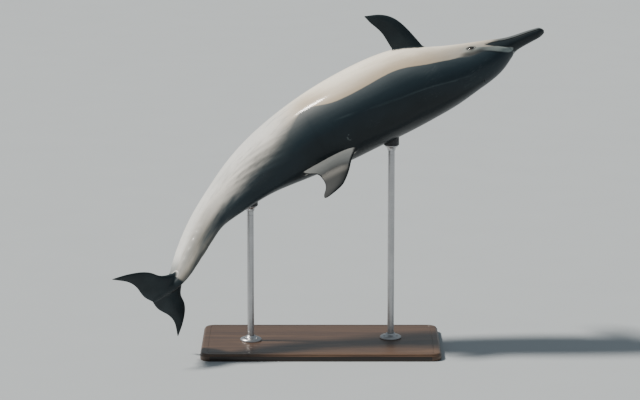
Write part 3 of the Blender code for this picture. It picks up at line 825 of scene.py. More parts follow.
# Where the markings lie, as distances on the skin. The dark cape runs from the melon to the
# stock, with a sharp front edge that dips to a point under the dorsal fin, and a streaky rear one.
# Each edge is given as degrees above mid-side, by the place along the body.
CAPE_FRONT = smooth_curve(
    (0.0700, 78.0),
    (0.0748, 75.5),
    (0.0811, 62.0),
    (0.0880, 46.0),
    (0.0971, 31.5),
    (0.1061, 20.5),
    (0.1145, 12.5),
    (0.1235, 6.5),
    (0.1330, 2.5),
    (0.1440, 2.5),
    (0.1640, 3.0),
    (0.1850, 5.0),
    (0.2150, 5.0),
    (0.2400, 6.0),
    (0.2940, 4.5),
    (0.3380, 7.0),
    (0.3940, 10.5),
    (0.4170, 10.5),
    (0.4500, 7.5),
    (0.4737, 1.5),
    (0.4897, -3.0),
    (0.5030, -7.0),
)
CAPE_REAR = smooth_curve(
    (0.503, -7.5),
    (0.531, -1.0),
    (0.557, 5.0),
    (0.579, 12.5),
    (0.601, 19.0),
    (0.631, 23.5),
    (0.659, 28.0),
    (0.690, 32.5),
    (0.720, 35.5),
    (0.744, 37.0),
    (0.768, 43.0),
    (0.793, 50.0),
    (0.830, 60.0),
    (0.870, 75.0),
    (0.920, 87.0),
)
# The dorsal fin's pale patch spreads on to the back up to this arc; it is partly painted light.
FIN_ARC = smooth_curve((0.450, 91), (0.4758, 82.5), (0.4995, 80), (0.5259, 82), (0.5489, 86.5), (0.562, 91))
# A thin pale line runs along the cape, high on the flank.
LIGHT_LINE = smooth_curve((0.173, 54.0), (0.232, 47.0), (0.316, 44.5), (0.379, 40.0), (0.448, 33.0))
# The upper lip's dark band ends at this edge, and the pale wedge before the eye begins.
LIP_TOP = smooth_curve(
    (0.0700, 62.0),
    (0.0734, 51.0),
    (0.0825, 27.5),
    (0.0929, 11.0),
    (0.1040, 1.0),
    (0.1152, -4.0),
    (0.1263, -8.5),
    (0.1382, -12.0),
    (0.1500, -17.0),
)


def up_from(curve):
    """How far up round the body each point lies from a line on the skin, in metres."""
    return (degrees - curve(back)) * np.pi / 180 * metric


def band(place, first, last):
    """1 between two ranges of places, rising over the first and falling over the last."""
    return blend_step(place, *first) * (1 - blend_step(place, *last))


NO_CAPE = -120  # degrees: lower than the middle of the belly
FRONT_END, REAR_START, REAR_END = 0.515, 0.490, 0.95
POINT_ROUNDING = 9  # stations over which the cape's point is rounded off
stations = np.linspace(0, 1.1, 2201)
front_edge = np.where(stations < FRONT_END, CAPE_FRONT(stations), NO_CAPE)
rear_edge = np.where(stations > REAR_START, CAPE_REAR(np.minimum(stations, REAR_END)), NO_CAPE)
edge = np.radians(np.maximum(front_edge, rear_edge))
rounding = np.exp(-((np.arange(-20, 21) / POINT_ROUNDING) ** 2))
edge = np.convolve(edge, rounding / rounding.sum(), mode="same")
slant = np.interp(back, stations, np.gradient(edge, stations)) * metric / LENGTH
cape = (angle - np.interp(back, stations, edge)) * metric / np.sqrt(1 + slant**2)

CAPE_SOFT, SOFT_BY_EYE, SOFT_BEHIND = 0.0028, 0.014, 0.030  # how far its edge blurs, in metres
BY_EYE, BEHIND_POINT = 0.040, (0.495, 0.58)
LINE_START, LINE_END = (0.15, 0.19), (0.42, 0.47)
cape_soft = CAPE_SOFT + SOFT_BY_EYE * hump(back - EYE_BACK, BY_EYE)
cape_soft = cape_soft + SOFT_BEHIND * blend_step(back, *BEHIND_POINT)
line_ends = band(back, LINE_START, LINE_END) * on_body
light_line = up_from(LIGHT_LINE)

# Beak, lips, jaw and cheek. The dark beak ends at the crease, and its band on the upper lip thins
# out towards the corner of the mouth. A thin dark stripe runs on from it along the cape's edge.
BEAK_END, LIP_BAND_END = 0.0705, 0.13
BEAK_SOFT, JAW_SOFT = 0.0025, 0.020
FAR = 0.1  # metres: far enough off a marking not to show it
UNDER_LIP = ((0.070, 0.095, 0.120), (0.012, 0.004, 0.001))  # places, and how far below the mouth
BAND_THINS = ((0.104, 0.126), (0, 0.012))
JAW_END, JAW_TOP = (0.080, 0.122), (-0.008, 0.002)
CHEEK_START, CHEEK_END, CHEEK_EDGE = 0.069, (0.130, 0.152), (-0.003, 0.003)
EYE_PATCH_ROUND = 2.0  # how much shorter the patch round the eye is across than along
STRIPE_START, STRIPE_END = (0.085, 0.100), (0.128, 0.146)
STRIPE_PLACE, STRIPE_WIDTH = 0.0015, 0.0028  # off the cape's edge
# Painted shade on the stock: it darkens up its side towards the back, and all round near the flukes.
SHADE_START, SHADE_HEIGHTS = (0.72, 0.86), (-35, 38)
ROOT_SHADE, ROOT_SHADE_START = 0.85, (0.875, 0.930)
from_lip_top = up_from(LIP_TOP)
under_lip = np.interp(back, *UNDER_LIP)
lip_band = np.minimum(from_mouth + under_lip, -from_lip_top) - np.interp(back, *BAND_THINS)
beak = np.maximum((BEAK_END - back) * LENGTH, np.where(back < LIP_BAND_END, lip_band, -FAR))
jaw = (1 - blend_step(back, *JAW_END)) * (1 - blend_step(from_mouth, *JAW_TOP))
cheek = blend_step(from_lip_top, *CHEEK_EDGE) * (1 - blend_step(back, *CHEEK_END))
cheek *= back > CHEEK_START
from_eye = np.hypot((back - lid_back) * LENGTH, EYE_PATCH_ROUND * (angle - lid_angle) * eye_metric)
stripe = ridge(cape - STRIPE_PLACE, STRIPE_WIDTH) * band(back, STRIPE_START, STRIPE_END)
stock_painted_shade = blend_step(back, *SHADE_START) * blend_step(degrees, *SHADE_HEIGHTS)
stock_painted_shade = np.maximum(stock_painted_shade, ROOT_SHADE * blend_step(back, *ROOT_SHADE_START)) * on_body

# A healed scar on the left side: an arc open towards the head, round a small nick.
SCAR_BACK, SCAR_DEGREES, SCAR_RADIUS = 0.441, 65.0, 0.013
SCAR_OPENS, NICK_PLACE, NICK_LONG, NICK_SIZE = -0.004, 0.006, 2, 0.7
OFF_SCAR = 0.05  # metres, added wherever the scar has no line
scar_along = (back - SCAR_BACK) * LENGTH
scar_across = np.radians(degrees - SCAR_DEGREES) * metric
scar = np.abs(np.hypot(scar_along, scar_across) - SCAR_RADIUS)
scar += OFF_SCAR * ((scar_along < SCAR_OPENS) | ~on_left | ~on_body)
nick = np.hypot(scar_along - NICK_PLACE, scar_across * NICK_LONG) * NICK_SIZE
scar = np.minimum(scar, np.where(on_left, nick, 1))

# How far out each point lies on its fin, and how far from the fin's edges.
STOCK_DARKENS = 0.929  # the flukes' black runs this far forward on the stock
ARC_START, ARC_END = 0.450, 0.562
OFF_PATCH, MOST_PATCH = -0.05, 0.03
RIM_FADE = 0.0030
TRAIL_FINER = 1.6  # how much finer a fin's dark edge is behind than in front
FAINT = 0.8  # how dark the navel and the vent are, against the mouth
limb = np.where(fin_kind > 1, fin_way[:, 0], 0)
limb = np.maximum(limb * LENGTH, (back - STOCK_DARKENS) * LENGTH * (fin_kind != 2))
on_arc = (back > ARC_START) & (back < ARC_END)
patch = np.where(on_arc, np.clip(up_from(FIN_ARC), OFF_PATCH, MOST_PATCH), OFF_PATCH)
on_fin = np.maximum(patch, 0) + fin_way[:, 0] * LENGTH
dorsal = np.where(fin_kind == 1, on_fin, np.where(on_body, patch, OFF_PATCH))
lead, trail = (np.where(on_body, FAR, fin_way[:, i] * LENGTH) for i in (1, 2))
# Painted shade in the folds: darker in the mouth's groove, the blowhole's slit, the navel, the vent, and
# round the lids' rim.
fold_shade = np.maximum.reduce([groove, blowhole, FAINT * navel, FAINT * vent])
fold_shade = np.where(from_rim < LID_REACH, np.exp(-from_rim / RIM_FADE), fold_shade)


def mark(mesh, name, values):
    """Keeps a vector for each point of a mesh, under a name that a material reads."""
    marking = mesh.attributes.new(name, "FLOAT_VECTOR", "POINT")
    marking.data.foreach_set("vector", values.astype(np.float32).ravel())


for name, parts in (
    ("laid_out", points.T * LENGTH),
    ("cape", (np.clip(cape / cape_soft, -40, 40), cape, metric)),
    ("face", (np.clip(beak / (BEAK_SOFT + JAW_SOFT * jaw), -40, 40), jaw, cheek)),
    ("limbs", (limb, dorsal, np.minimum(lead, trail * TRAIL_FINER))),
    ("spots", (fold_shade, from_eye, np.minimum(scar, FAR))),
    ("lines", (light_line, line_ends, stripe)),
    ("shades", (stock_painted_shade, degrees / 90, back)),
):
    mark(hide_mesh, name, np.column_stack(parts))

# The leap. The straight animal is bent, twisted and rolled along its spine, and set on the place
# that its eyes have in the frame.
CLIMB, YAW, ROLL = 31.0, 7.5, 131.5  # degrees, as all angles here
HEAD_BEND, TAIL_BEND, TAIL_TWIST, FLUKE_BEND = -10.5, 42.5, 16.0, -37.0
BEND_LENGTH, TWIST_LENGTH, FLUKE_LENGTH = (0.34, 1.05), (0.55, 1.00), (0.89, 0.972)


def turn(axis, degrees):
    """Rotations about one of the animal's own axes: 0 forward, 1 left, 2 up."""
    cosine, sine = np.cos(np.radians(degrees)), np.sin(np.radians(degrees))
    made = np.zeros(np.shape(cosine) + (3, 3))
    a, b = [(1, 2), (2, 0), (0, 1)][axis]
    made[..., axis, axis] = 1
    made[..., a, a] = made[..., b, b] = cosine
    made[..., b, a] = sine
    made[..., a, b] = -sine
    return made


def attitude(back):
    """Columns: forward, left and up of the animal at a station, in the world."""
    bend = HEAD_BEND + (TAIL_BEND - HEAD_BEND) * blend_step(back, *BEND_LENGTH)
    twist = -TAIL_TWIST * blend_step(back, *TWIST_LENGTH)
    fluke = FLUKE_BEND * blend_step(back, *FLUKE_LENGTH)
    whole = turn(2, YAW) @ turn(1, -CLIMB) @ turn(0, ROLL)
    return whole @ turn(1, bend) @ turn(0, twist) @ turn(1, fluke)


SPINE_STATIONS = np.linspace(-0.05, 1.10, 1151)
spine_step = SPINE_STATIONS[1] - SPINE_STATIONS[0]
spine = np.cumsum(-attitude(SPINE_STATIONS)[..., 0] * spine_step, axis=0)


def bent(point):
    """Points given as (back, left, up) shares, in metres and in the leap's attitude."""
    place = point[..., 0]
    axis = np.stack([np.interp(place, SPINE_STATIONS, spine[:, i]) for i in range(3)], axis=-1)
    columns = attitude(place)
    offset = columns[..., 1] * point[..., 1:2] + columns[..., 2] * point[..., 2:3]
    return (axis + offset) * LENGTH


low, high = (np.array(corner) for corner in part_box("eye_left"))
PLACE = (low + high) / 2 - bent(eye_middle)
world = bent(laid) + PLACE
hide_mesh.vertices.foreach_set("co", world.ravel())
hide_mesh.flip_normals()  # the straight layout is a mirror image of the world
hide_mesh.update()
hide_mesh.shade_smooth()
hide = bpy.data.objects.new("hide", hide_mesh)
bpy.context.scene.collection.objects.link(hide)


class Look:
    """One output of a material's nodes. Arithmetic on it adds Math nodes."""

    def __init__(self, tree, socket=None):
        self.tree = tree
        self.socket = socket

    def node(self, kind, settings, inputs, output=0):
        """A node of a type, with its settings and the values or links of its sockets."""
        made = self.tree.nodes.new(kind)
        for name, value in settings.items():
            setattr(made, name, value)
        for name, value in inputs.items():
            if isinstance(value, Look):
                self.tree.links.new(value.socket, made.inputs[name])
            else:
                made.inputs[name].default_value = value
        return Look(self.tree, made.outputs[output])

    def maths(self, operation, *values):
        return self.node("ShaderNodeMath", {"operation": operation}, dict(enumerate(values)))

    def __add__(self, other):
        return self.maths("ADD", self, other)

    __radd__ = __add__

    def __sub__(self, other):
        return self.maths("SUBTRACT", self, other)

    def __rsub__(self, other):
        return self.maths("SUBTRACT", other, self)

    def __mul__(self, other):
        return self.maths("MULTIPLY", self, other)

    __rmul__ = __mul__

    def __truediv__(self, other):
        return self.maths("DIVIDE", self, other)

    def __pow__(self, other):
        return self.maths("POWER", self, other)

    def __abs__(self):
        return self.maths("ABSOLUTE", self)

    def most(self, other):
        return self.maths("MAXIMUM", self, other)

    def step(self, start, end):
        """0 at the start value, 1 at the end value, smooth between."""
        settings = {"interpolation_type": "SMOOTHSTEP", "clamp": True}
        return self.node("ShaderNodeMapRange", settings, {0: self, 1: start, 2: end, 3: 0.0, 4: 1.0})

    def mix(self, first, second):
        """The first colour where this is 0, the second where it is 1."""
        settings = {"data_type": "RGBA", "clamp_factor": True}
        colours = [value if isinstance(value, Look) else (*value, 1) for value in (first, second)]
        return self.node("ShaderNodeMix", settings, {0: self, 6: colours[0], 7: colours[1]}, 2)

    def stretched(self, along, across, up):
        """A vector with each of its parts made larger, so that what follows it gets finer."""
        settings = {"operation": "MULTIPLY"}
        return self.node("ShaderNodeVectorMath", settings, {0: self, 1: (along, across, up)})

    def noise(self, scale, detail=3.0, roughness=0.5, distortion=0.0):
        """A cloudy pattern about 0.5, read at this vector."""
        inputs = {"Vector": self, "Scale": scale, "Detail": detail, "Roughness": roughness}
        return self.node("ShaderNodeTexNoise", {}, {**inputs, "Distortion": distortion})

    def parts(self):
        """The three parts of a vector."""
        made = self.node("ShaderNodeSeparateXYZ", {}, {0: self})
        return [Look(self.tree, output) for output in made.socket.node.outputs]

    def marking(self, name):
        """A vector kept on the mesh under a name."""
        return self.node("ShaderNodeAttribute", {"attribute_name": name}, {}, "Vector")

    def place(self):
        """The place on a piece, in metres."""
        return self.node("ShaderNodeTexCoord", {}, {}, "Object")

    def times(self, amount):
        """This colour made darker or lighter."""
        grey = self.node("ShaderNodeCombineColor", {}, {0: amount, 1: amount, 2: amount})
        settings = {"data_type": "RGBA", "blend_type": "MULTIPLY"}
        return self.node("ShaderNodeMix", settings, {0: 1.0, 6: self, 7: grey}, 2)

    def bump(self, height, strength=1.0):
        """A surface normal from a height in metres."""
        return self.node("ShaderNodeBump", {}, {"Strength": strength, "Distance": 1.0, "Height": height})


def new_look(name, **uniform):
    """A material of a name with one shader, whose plain values are set on its own sockets."""
    material = bpy.data.materials.new(name)
    material.use_nodes = True
    shader = material.node_tree.nodes["Principled BSDF"]
    for socket, value in uniform.items():
        shader.inputs[socket.replace("_", " ")].default_value = value
    return material, Look(material.node_tree)


def finish(material, **looks):
    """Links looks to the sockets of a material's shader."""
    shader = material.node_tree.nodes["Principled BSDF"]
    for socket, look in looks.items():
        material.node_tree.links.new(look.socket, shader.inputs[socket.replace("_", " ")])


# The hide's finish: wet, smooth skin. Belly and stock are pale, the flank by the cape beige, the
# cape slate, and beak, flippers and flukes nearly black. Markings meet along soft, living edges.
# Painted shade darkens the stock's upper side, the cape's back, a veil behind the cape's point and
# the folds, and painted light brightens the dorsal fin's base.
BELLY = (0.86, 0.80, 0.68)
STOCK = (0.62, 0.62, 0.60)
# Painted shade for the stock's upper side and its end by the flukes:
STOCK_PAINTED_SHADE = (0.13, 0.150, 0.155)
BEIGE = (0.35, 0.275, 0.190)
CAPE_RIM = (0.038, 0.052, 0.060)
# The cape's slates, darkened as painted shade, deepest along the back:
CAPE = (0.0075, 0.0185, 0.026)
CAPE_DEEP = (0.001, 0.006, 0.009)
PALE_LINE = (0.050, 0.072, 0.080)
# Partly the grey field's own colour, partly painted shade:
VEIL_SHADE = (0.040, 0.050, 0.054)
FRONT_GREY = (0.235, 0.235, 0.225)
SMOKE = (0.022, 0.024, 0.024)
CHEEK = (0.20, 0.235, 0.23)
CHEEK_REAR = (0.070, 0.086, 0.090)
JAW = (0.085, 0.096, 0.10)
BEAK = (0.006, 0.012, 0.016)
FIN = (0.020, 0.023, 0.024)
# Partly the fin's pale patch, partly painted light:
FIN_PALE_AND_LIT = (0.54, 0.515, 0.470)
FIN_EDGE = (0.012, 0.015, 0.017)
LIMB = (0.005, 0.012, 0.016)
LIMB_PALE = (0.018, 0.029, 0.034)
# Painted shade for the folds:
FOLD_SHADE = (0.008, 0.009, 0.010)
SCAR = (0.15, 0.175, 0.18)

skin, start = new_look("wet_hide", Coat_Roughness=0.10, Coat_IOR=1.33, IOR=1.33)
way = start.marking("laid_out")
cape_at, cape_metres, _ = start.marking("cape").parts()
stock_painted_shade, height_round, station = start.marking("shades").parts()
beak_at, jaw_at, cheek_at = start.marking("face").parts()
limb_at, dorsal_at, fin_edge = start.marking("limbs").parts()
fold_shade_at, eye_at, scar_at = start.marking("spots").parts()
line_at, line_ends, stripe_at = start.marking("lines").parts()

cloud = way.noise(9.0, 4.0, 0.55)
fine = way.noise(70.0, 4.0, 0.6)
streak = way.stretched(2.6, 24.0, 24.0).noise(1.0, 4.0, 0.62)
long_streak = way.stretched(1.5, 15.0, 15.0).noise(1.0, 3.0, 0.5)
thread = way.stretched(5.0, 95.0, 95.0).noise(1.0, 2.0, 0.5)
cloudy, finely, streaky = cloud - 0.5, fine - 0.5, streak - 0.5
REAR_PLACES = (0.48, 0.58)
rear = (station + 0.10 * streaky).step(*REAR_PLACES)

# Below the cape: belly and stock, painted shade up the stock's side and all round near the flukes,
# the flank's beige, the grey behind the eye, smudges and a dark veil over the stock (partly the
# grey field, partly painted shade), and the cheek's pale wedge. Each fades over a range of places
# along the body, of heights round it, or of metres up to the cape's edge.
BEIGE_METRES = (-0.13, -0.006)
GREY_PLACES, GREY_HEIGHTS = (0.16, 0.27), (-0.60, -0.10)
SMUDGE_METRES, SMUDGE_LEVELS = (-0.10, 0.0), (0.50, 0.70)
CHEEK_PLACES = (0.082, 0.128)
VEIL_METRES, VEIL_PLACES = (-0.055, 0.0), (0.66, 0.76)
flank = rear.mix(BELLY, STOCK)
# Painted shade over the stock, streaky behind the cape's point.
flank = (stock_painted_shade + 0.30 * streaky * rear).mix(flank, STOCK_PAINTED_SHADE)
near_cape = (cape_metres + 0.05 * streaky).step(*BEIGE_METRES) * (1 - 0.6 * rear)
flank = (near_cape * 0.95).mix(flank, BEIGE)
front_grey = (1 - station.step(*GREY_PLACES)) * height_round.step(*GREY_HEIGHTS)
flank = (front_grey * 0.7).mix(flank, FRONT_GREY)
smudge = (streak * 0.7 + thread * 0.3).step(*SMUDGE_LEVELS) * rear
smudge = smudge * (cape_metres + 0.05).step(*SMUDGE_METRES)
flank = (smudge * 0.45).mix(flank, CAPE_RIM)
flank = (cheek_at * 0.95).mix(flank, station.step(*CHEEK_PLACES).mix(CHEEK, CHEEK_REAR))
# Painted shade: behind the cape's point the flank just under the cape's edge is darkened, partly the grey
# field's own tone and partly the shade where the flank turns from the light.
veil_shade = (cape_metres + 0.08 * (long_streak - 0.5)).step(*VEIL_METRES) * rear
flank = (veil_shade * (1 - station.step(*VEIL_PLACES)) * 0.5).mix(flank, VEIL_SHADE)

# The cape: paler along its rim, most of all behind its point, darkest along the back, and
# crossed by one thin pale line. Its edge is sharp in front and ragged behind. Its own colour is a
# dark slate; the slates here are darker still as painted shade, deepest along the back, which
# turns from the light.
NARROW_BY_EYE, NARROW_BY_FLIPPER = (0.105, 0.165), (0.16, 0.30)
POINT_START, POINT_END = (0.43, 0.50), (0.60, 0.70)
RIM_METRES, DEEP_METRES = (0.0, 0.075), (0.08, 0.20)
LINE_METRES, LINE_LEVELS = (0.001, 0.007), (0.30, 0.55)
ragged = 2.4 * (long_streak - 0.5) + 1.2 * streaky + 0.6 * (thread - 0.5)
ragged = 0.8 * finely * (1 - rear) + ragged * rear
in_cape = (cape_at + ragged).step(-1.0, 1.0)
narrow = 0.06 * (1 - station.step(*NARROW_BY_EYE))
narrow = narrow + 0.035 * (1 - station.step(*NARROW_BY_FLIPPER))
by_point = station.step(*POINT_START) * (1 - station.step(*POINT_END))
rim = (cape_metres + 0.05 * streaky + narrow - 0.012 * by_point).step(*RIM_METRES)
# Painted shade: the cape darkens from its rim towards the back.
deep_shade = (cape_metres + 0.10 * cloudy).step(*DEEP_METRES)
cape = deep_shade.mix(rim.mix((by_point * 0.9).mix(CAPE_RIM, VEIL_SHADE), CAPE), CAPE_DEEP)
pale = abs(line_at + 0.006 * (thread - 0.5)) + 0.010 * streaky
pale = (1 - pale.step(*LINE_METRES)) * line_ends * streak.step(*LINE_LEVELS)
cape = (pale * 0.5).mix(cape, PALE_LINE)
colour = in_cape.mix(flank, cape)

# The head: a smoky patch above the eye, a pale halo round it, the jaw's grey, the dark beak, the
# stripe along the cape's edge, and a dark patch close round the lids. The back has one scar.
SMOKY_BACK, SMOKY_LONG = 0.148, 0.028
SMOKY_HEIGHT, SMOKY_TALL = 0.010, 0.100  # as shares of the quarter turn up from mid-side
SMOKY_EDGE = (0.05, 1.15)
HALO_METRES, PATCH_METRES = (0.012, 0.060), (0.014, 0.026)  # off the eye
SCAR_METRES, SCAR_LEVELS = (0.0005, 0.0035), (0.30, 0.55)
along, across = (station - SMOKY_BACK) / SMOKY_LONG, (height_round - SMOKY_HEIGHT) / SMOKY_TALL
smoky = 1 - (along * along + across * across + 0.5 * cloudy).step(*SMOKY_EDGE)
colour = (smoky * 0.85).mix(colour, SMOKE)
halo = 1 - (eye_at + 0.02 * cloudy).step(*HALO_METRES)
colour = (halo * (1 - in_cape) * 0.45).mix(colour, CHEEK)
scar = (1 - (scar_at + 0.006 * finely).step(*SCAR_METRES)) * fine.step(*SCAR_LEVELS)
colour = (scar * 0.7).mix(colour, SCAR)
colour = (jaw_at * 0.92).mix(colour, JAW)
in_beak = (beak_at + 2.4 * finely).step(-1.0, 1.0)
colour = in_beak.mix(colour, BEAK)
colour = (jaw_at * in_beak * 0.85).mix(colour, JAW)
colour = (stripe_at * 0.8).mix(colour, CAPE_DEEP)
around_eye = 1 - (eye_at + 0.012 * finely).step(*PATCH_METRES)
colour = (around_eye * 0.92).mix(colour, CAPE_DEEP)

# The fins: the dorsal one pale at its base, partly its own pale patch and partly painted light
# that makes up for the shade in its fillet, and dark along its edges; the others nearly black.
DORSAL_METRES, LIMB_METRES = (0.0, 0.006), (0.001, 0.010)
EDGE_METRES, BASE_METRES = (0.002, 0.012), (0.022, 0.122)
TIP_METRES, TIP_SHARE = (0.13, 0.21), 0.55
LIMB_LEVELS = (0.35, 0.75)
on_dorsal = (dorsal_at + 0.005 * finely).step(*DORSAL_METRES)
dorsal_edge = 1 - (fin_edge + 0.008 * finely).step(*EDGE_METRES)
dorsal_tip = (dorsal_at + 0.03 * cloudy).step(*TIP_METRES) * TIP_SHARE
# Painted light: the base is paler still where the fillet lies in shade.
fin = (dorsal_at + 0.02 * streaky).step(*BASE_METRES).mix(FIN_PALE_AND_LIT, FIN)
fin = dorsal_edge.most(dorsal_tip).mix(fin, FIN_EDGE)
colour = on_dorsal.mix(colour, fin)
on_limb = (limb_at + 0.010 * finely).step(*LIMB_METRES)
limb = (cloud.step(*LIMB_LEVELS) * 0.8).mix(LIMB, LIMB_PALE)
colour = on_limb.mix(colour, limb)

# Old marks: thin pale scratches in patches, and fine mottling everywhere.
SCRATCH_SLANT = 0.42  # radians
SCRATCH_LEVELS, SCRATCH_PATCHES = (0.0, 0.012), (0.56, 0.66)
slanted = way.node("ShaderNodeVectorRotate", {"rotation_type": "Y_AXIS"}, {0: way, "Angle": SCRATCH_SLANT})
scratch = abs(slanted.stretched(5.0, 120.0, 120.0).noise(1.0, 1.0, 0.4) - 0.5)
scratch = 1 - scratch.step(*SCRATCH_LEVELS)
scratch = scratch * way.noise(6.5, 2.0, 0.5).step(*SCRATCH_PATCHES)
level = in_cape.most(on_limb).most(in_beak)
colour = (scratch * (0.05 + 0.12 * level)).mix(colour, SCAR)
colour = colour.times((0.90 + 0.20 * cloud) * (0.93 + 0.14 * fine))
# Painted shade in the folds and round the lids.
colour = (fold_shade_at * 0.93).mix(colour, FOLD_SHADE)

gloss = 0.47 + 0.08 * cloud + 0.08 * finely + 0.08 * scratch + 0.20 * on_dorsal
wet = 0.30 - 0.30 * on_dorsal
grain = way.noise(420.0, 2.0, 0.5)
relief = 0.00022 * fine + 0.00003 * grain + 0.0010 * streaky * (0.25 + rear) - 0.00012 * scratch
finish(skin, Base_Color=colour, Roughness=gloss, Coat_Weight=wet, Normal=start.bump(relief, 0.6))
hide_mesh.materials.append(skin)

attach(hide, "root")
FLESH = ["head", "beak_upper", "beak_lower", "chest", "abdomen", "loin", "tail_stock", "dorsal_fin"]
FLESH += [f"{part}_{side}" for part in ("flipper", "fluke") for side in ("left", "right")]
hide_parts(*FLESH)

# The eyes. Each is a dark, wet ball let into the side of the head, with a slightly swollen
# cornea, a brown iris and the level, drooping pupil that a dolphin has.
EYE_TURNS = 72
EYE_ROWS = 48
CORNEA = 0.0006
CORNEA_WIDTH = 0.50  # radians off the ball's pole
IRIS_REACH = 0.60  # of the ball's radius, as all sizes of the iris and the pupil are
LIMBUS_START = 0.72  # share of the iris's reach at which its dark rim begins
PUPIL_LONG, PUPIL_TALL = 0.30, 0.13
PUPIL_DROP, PUPIL_BOW = 0.05, 0.10
IRIS_SOFT, PUPIL_EDGE = 0.06, (0.85, 1.15)
FIBRE_LEVELS = (0.35, 0.70)
LOOK_AHEAD = 0.001  # a short way, as a share of the length, which gives the ball's directions
EYE_WHITE = (0.045, 0.038, 0.036)
IRIS = (0.013, 0.008, 0.005)
IRIS_LIGHT = (0.032, 0.018, 0.010)
LIMBUS = (0.006, 0.005, 0.005)
PUPIL = (0.0015, 0.0020, 0.0028)

eye_look, start = new_look("wet_eye", Coat_Weight=1.0, Coat_Roughness=0.02, Roughness=0.12)
gaze_ahead, gaze_up, _ = start.marking("gaze").parts()
ring = (gaze_ahead * gaze_ahead + gaze_up * gaze_up) ** 0.5
spoke = start.maths("ARCTAN2", gaze_up, gaze_ahead)
fibre = start.node("ShaderNodeCombineXYZ", {}, {0: spoke * 9.0, 1: ring * 2.0}).noise(2.2, 3.0, 0.6)
iris = fibre.step(*FIBRE_LEVELS).mix(IRIS, IRIS_LIGHT)
iris = ring.step(IRIS_REACH * LIMBUS_START, IRIS_REACH).mix(iris, LIMBUS)
eye_colour = ring.step(IRIS_REACH, IRIS_REACH + IRIS_SOFT).mix(iris, EYE_WHITE)
slot_ahead = gaze_ahead / PUPIL_LONG
slot_up = (gaze_up + PUPIL_DROP - PUPIL_BOW * slot_ahead * slot_ahead) / PUPIL_TALL
pupil = 1 - (slot_ahead * slot_ahead + slot_up * slot_up).step(*PUPIL_EDGE)
eye_colour = pupil.mix(eye_colour, PUPIL)
finish(eye_look, Base_Color=eye_colour)


def circle(sides):
    """Points round a circle of radius 1, in the level plane."""
    around = np.linspace(0, 2 * np.pi, sides, endpoint=False)
    return np.stack([np.cos(around), np.sin(around), np.zeros(sides)], axis=-1)


def round_faces(rows, sides):
    """Faces between rows of points, each row a closed ring."""
    faces = []
    for i in range(rows - 1):
        for j in range(sides):
            a, b = i * sides + j, i * sides + (j + 1) % sides
            faces.append((a, b, b + sides, a + sides))
    return faces


WELD = 1e-6  # metres within which points are joined
for side, name in ((1, "left"), (-1, "right")):
    mirror = np.array([1, side, 1])
    middle = bent(eye_middle * mirror) + PLACE
    gaze = bent((eye_middle + gaze_straight * LOOK_AHEAD) * mirror) + PLACE - middle
    forward = bent((eye_middle - np.array([LOOK_AHEAD, 0, 0])) * mirror) + PLACE - middle
    gaze /= np.linalg.norm(gaze)
    forward -= gaze * (forward @ gaze)
    forward /= np.linalg.norm(forward)
    upward = np.cross(gaze, forward) * -side
    rows, marks = [], []
    for polar in np.linspace(0, np.pi, EYE_ROWS + 1):
        radius = EYE_RADIUS + CORNEA * ridge(polar, CORNEA_WIDTH)
        ahead, up, level = (circle(EYE_TURNS) * math.sin(polar) + (0, 0, math.cos(polar))).T
        marks.append(np.column_stack([ahead, up, level]))
        offset = gaze * level[:, None] + forward * ahead[:, None] + upward * up[:, None]
        rows.append(middle + radius * offset)
    eye_mesh = bpy.data.meshes.new("eyeball_" + name)
    eye_mesh.from_pydata(np.concatenate(rows).tolist(), [], round_faces(EYE_ROWS + 1, EYE_TURNS))
    mark(eye_mesh, "gaze", np.concatenate(marks))
    face_out(eye_mesh, WELD)
    eye_mesh.shade_smooth()
    eye_mesh.materials.append(eye_look)
    eyeball = bpy.data.objects.new("eyeball_" + name, eye_mesh)
    bpy.context.scene.collection.objects.link(eyeball)
    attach(eyeball, "root")
    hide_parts("eye_" + name)

# The stand's base. One board of dark oiled hardwood, glued up from three staves, with a moulded
# edge and a fine groove routed round its top.
BASE_CORNER = 0.045
CORNER_STEPS = 16
HARD_EDGE = math.radians(38)  # an edge that turns more than this stays sharp
BASE_PROFILE = (  # how far in from the edge, and how high
    (0.0040, 0.0000),
    (0.0012, 0.0012),
    (0.0000, 0.0042),
    (0.0000, 0.0195),
    (0.0006, 0.0212),
    (0.0020, 0.0222),
    (0.0034, 0.0226),
    (0.0036, 0.0246),
    (0.0046, 0.0270),
    (0.0070, 0.0289),
    (0.0104, 0.0298),
    (0.0140, 0.0300),
    (0.0286, 0.0300),
    (0.0293, 0.0290),
    (0.0303, 0.0286),
    (0.0313, 0.0290),
    (0.0320, 0.0300),
)
STAVE = 0.18
SEAM = (0.4975, 0.4992)  # in staves, off a stave's middle
WOOD = (0.110, 0.058, 0.030)
WOOD_DARK = (0.042, 0.021, 0.011)
WOOD_PORE = (0.014, 0.008, 0.005)


def add_piece(name, parts, look, node):
    """One stand piece from (points, faces) parts, smooth but for its hard edges."""
    points, faces = [], []
    for part_points, part_faces in parts:
        faces += [tuple(len(points) + corner for corner in face) for face in part_faces]
        points += [tuple(point) for point in part_points]
    mesh = bpy.data.meshes.new(name)
    mesh.from_pydata(points, [], faces)
    face_out(mesh, WELD)
    mesh.shade_smooth()
    mesh.set_sharp_from_angle(angle=HARD_EDGE)
    mesh.materials.append(look)
    piece = bpy.data.objects.new(name, mesh)
    bpy.context.scene.collection.objects.link(piece)
    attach(piece, "root")
    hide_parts(node)


def skinned(rings):
    """Points and faces of a closed solid through rings of points, flat at both ends."""
    rings = np.array(rings)
    count, around = rings.shape[:2]
    ends = [tuple(first + np.arange(around)) for first in (0, (count - 1) * around)]
    return rings.reshape(-1, 3), ends + round_faces(count, around)


UP = np.array([0.0, 0.0, 1.0])


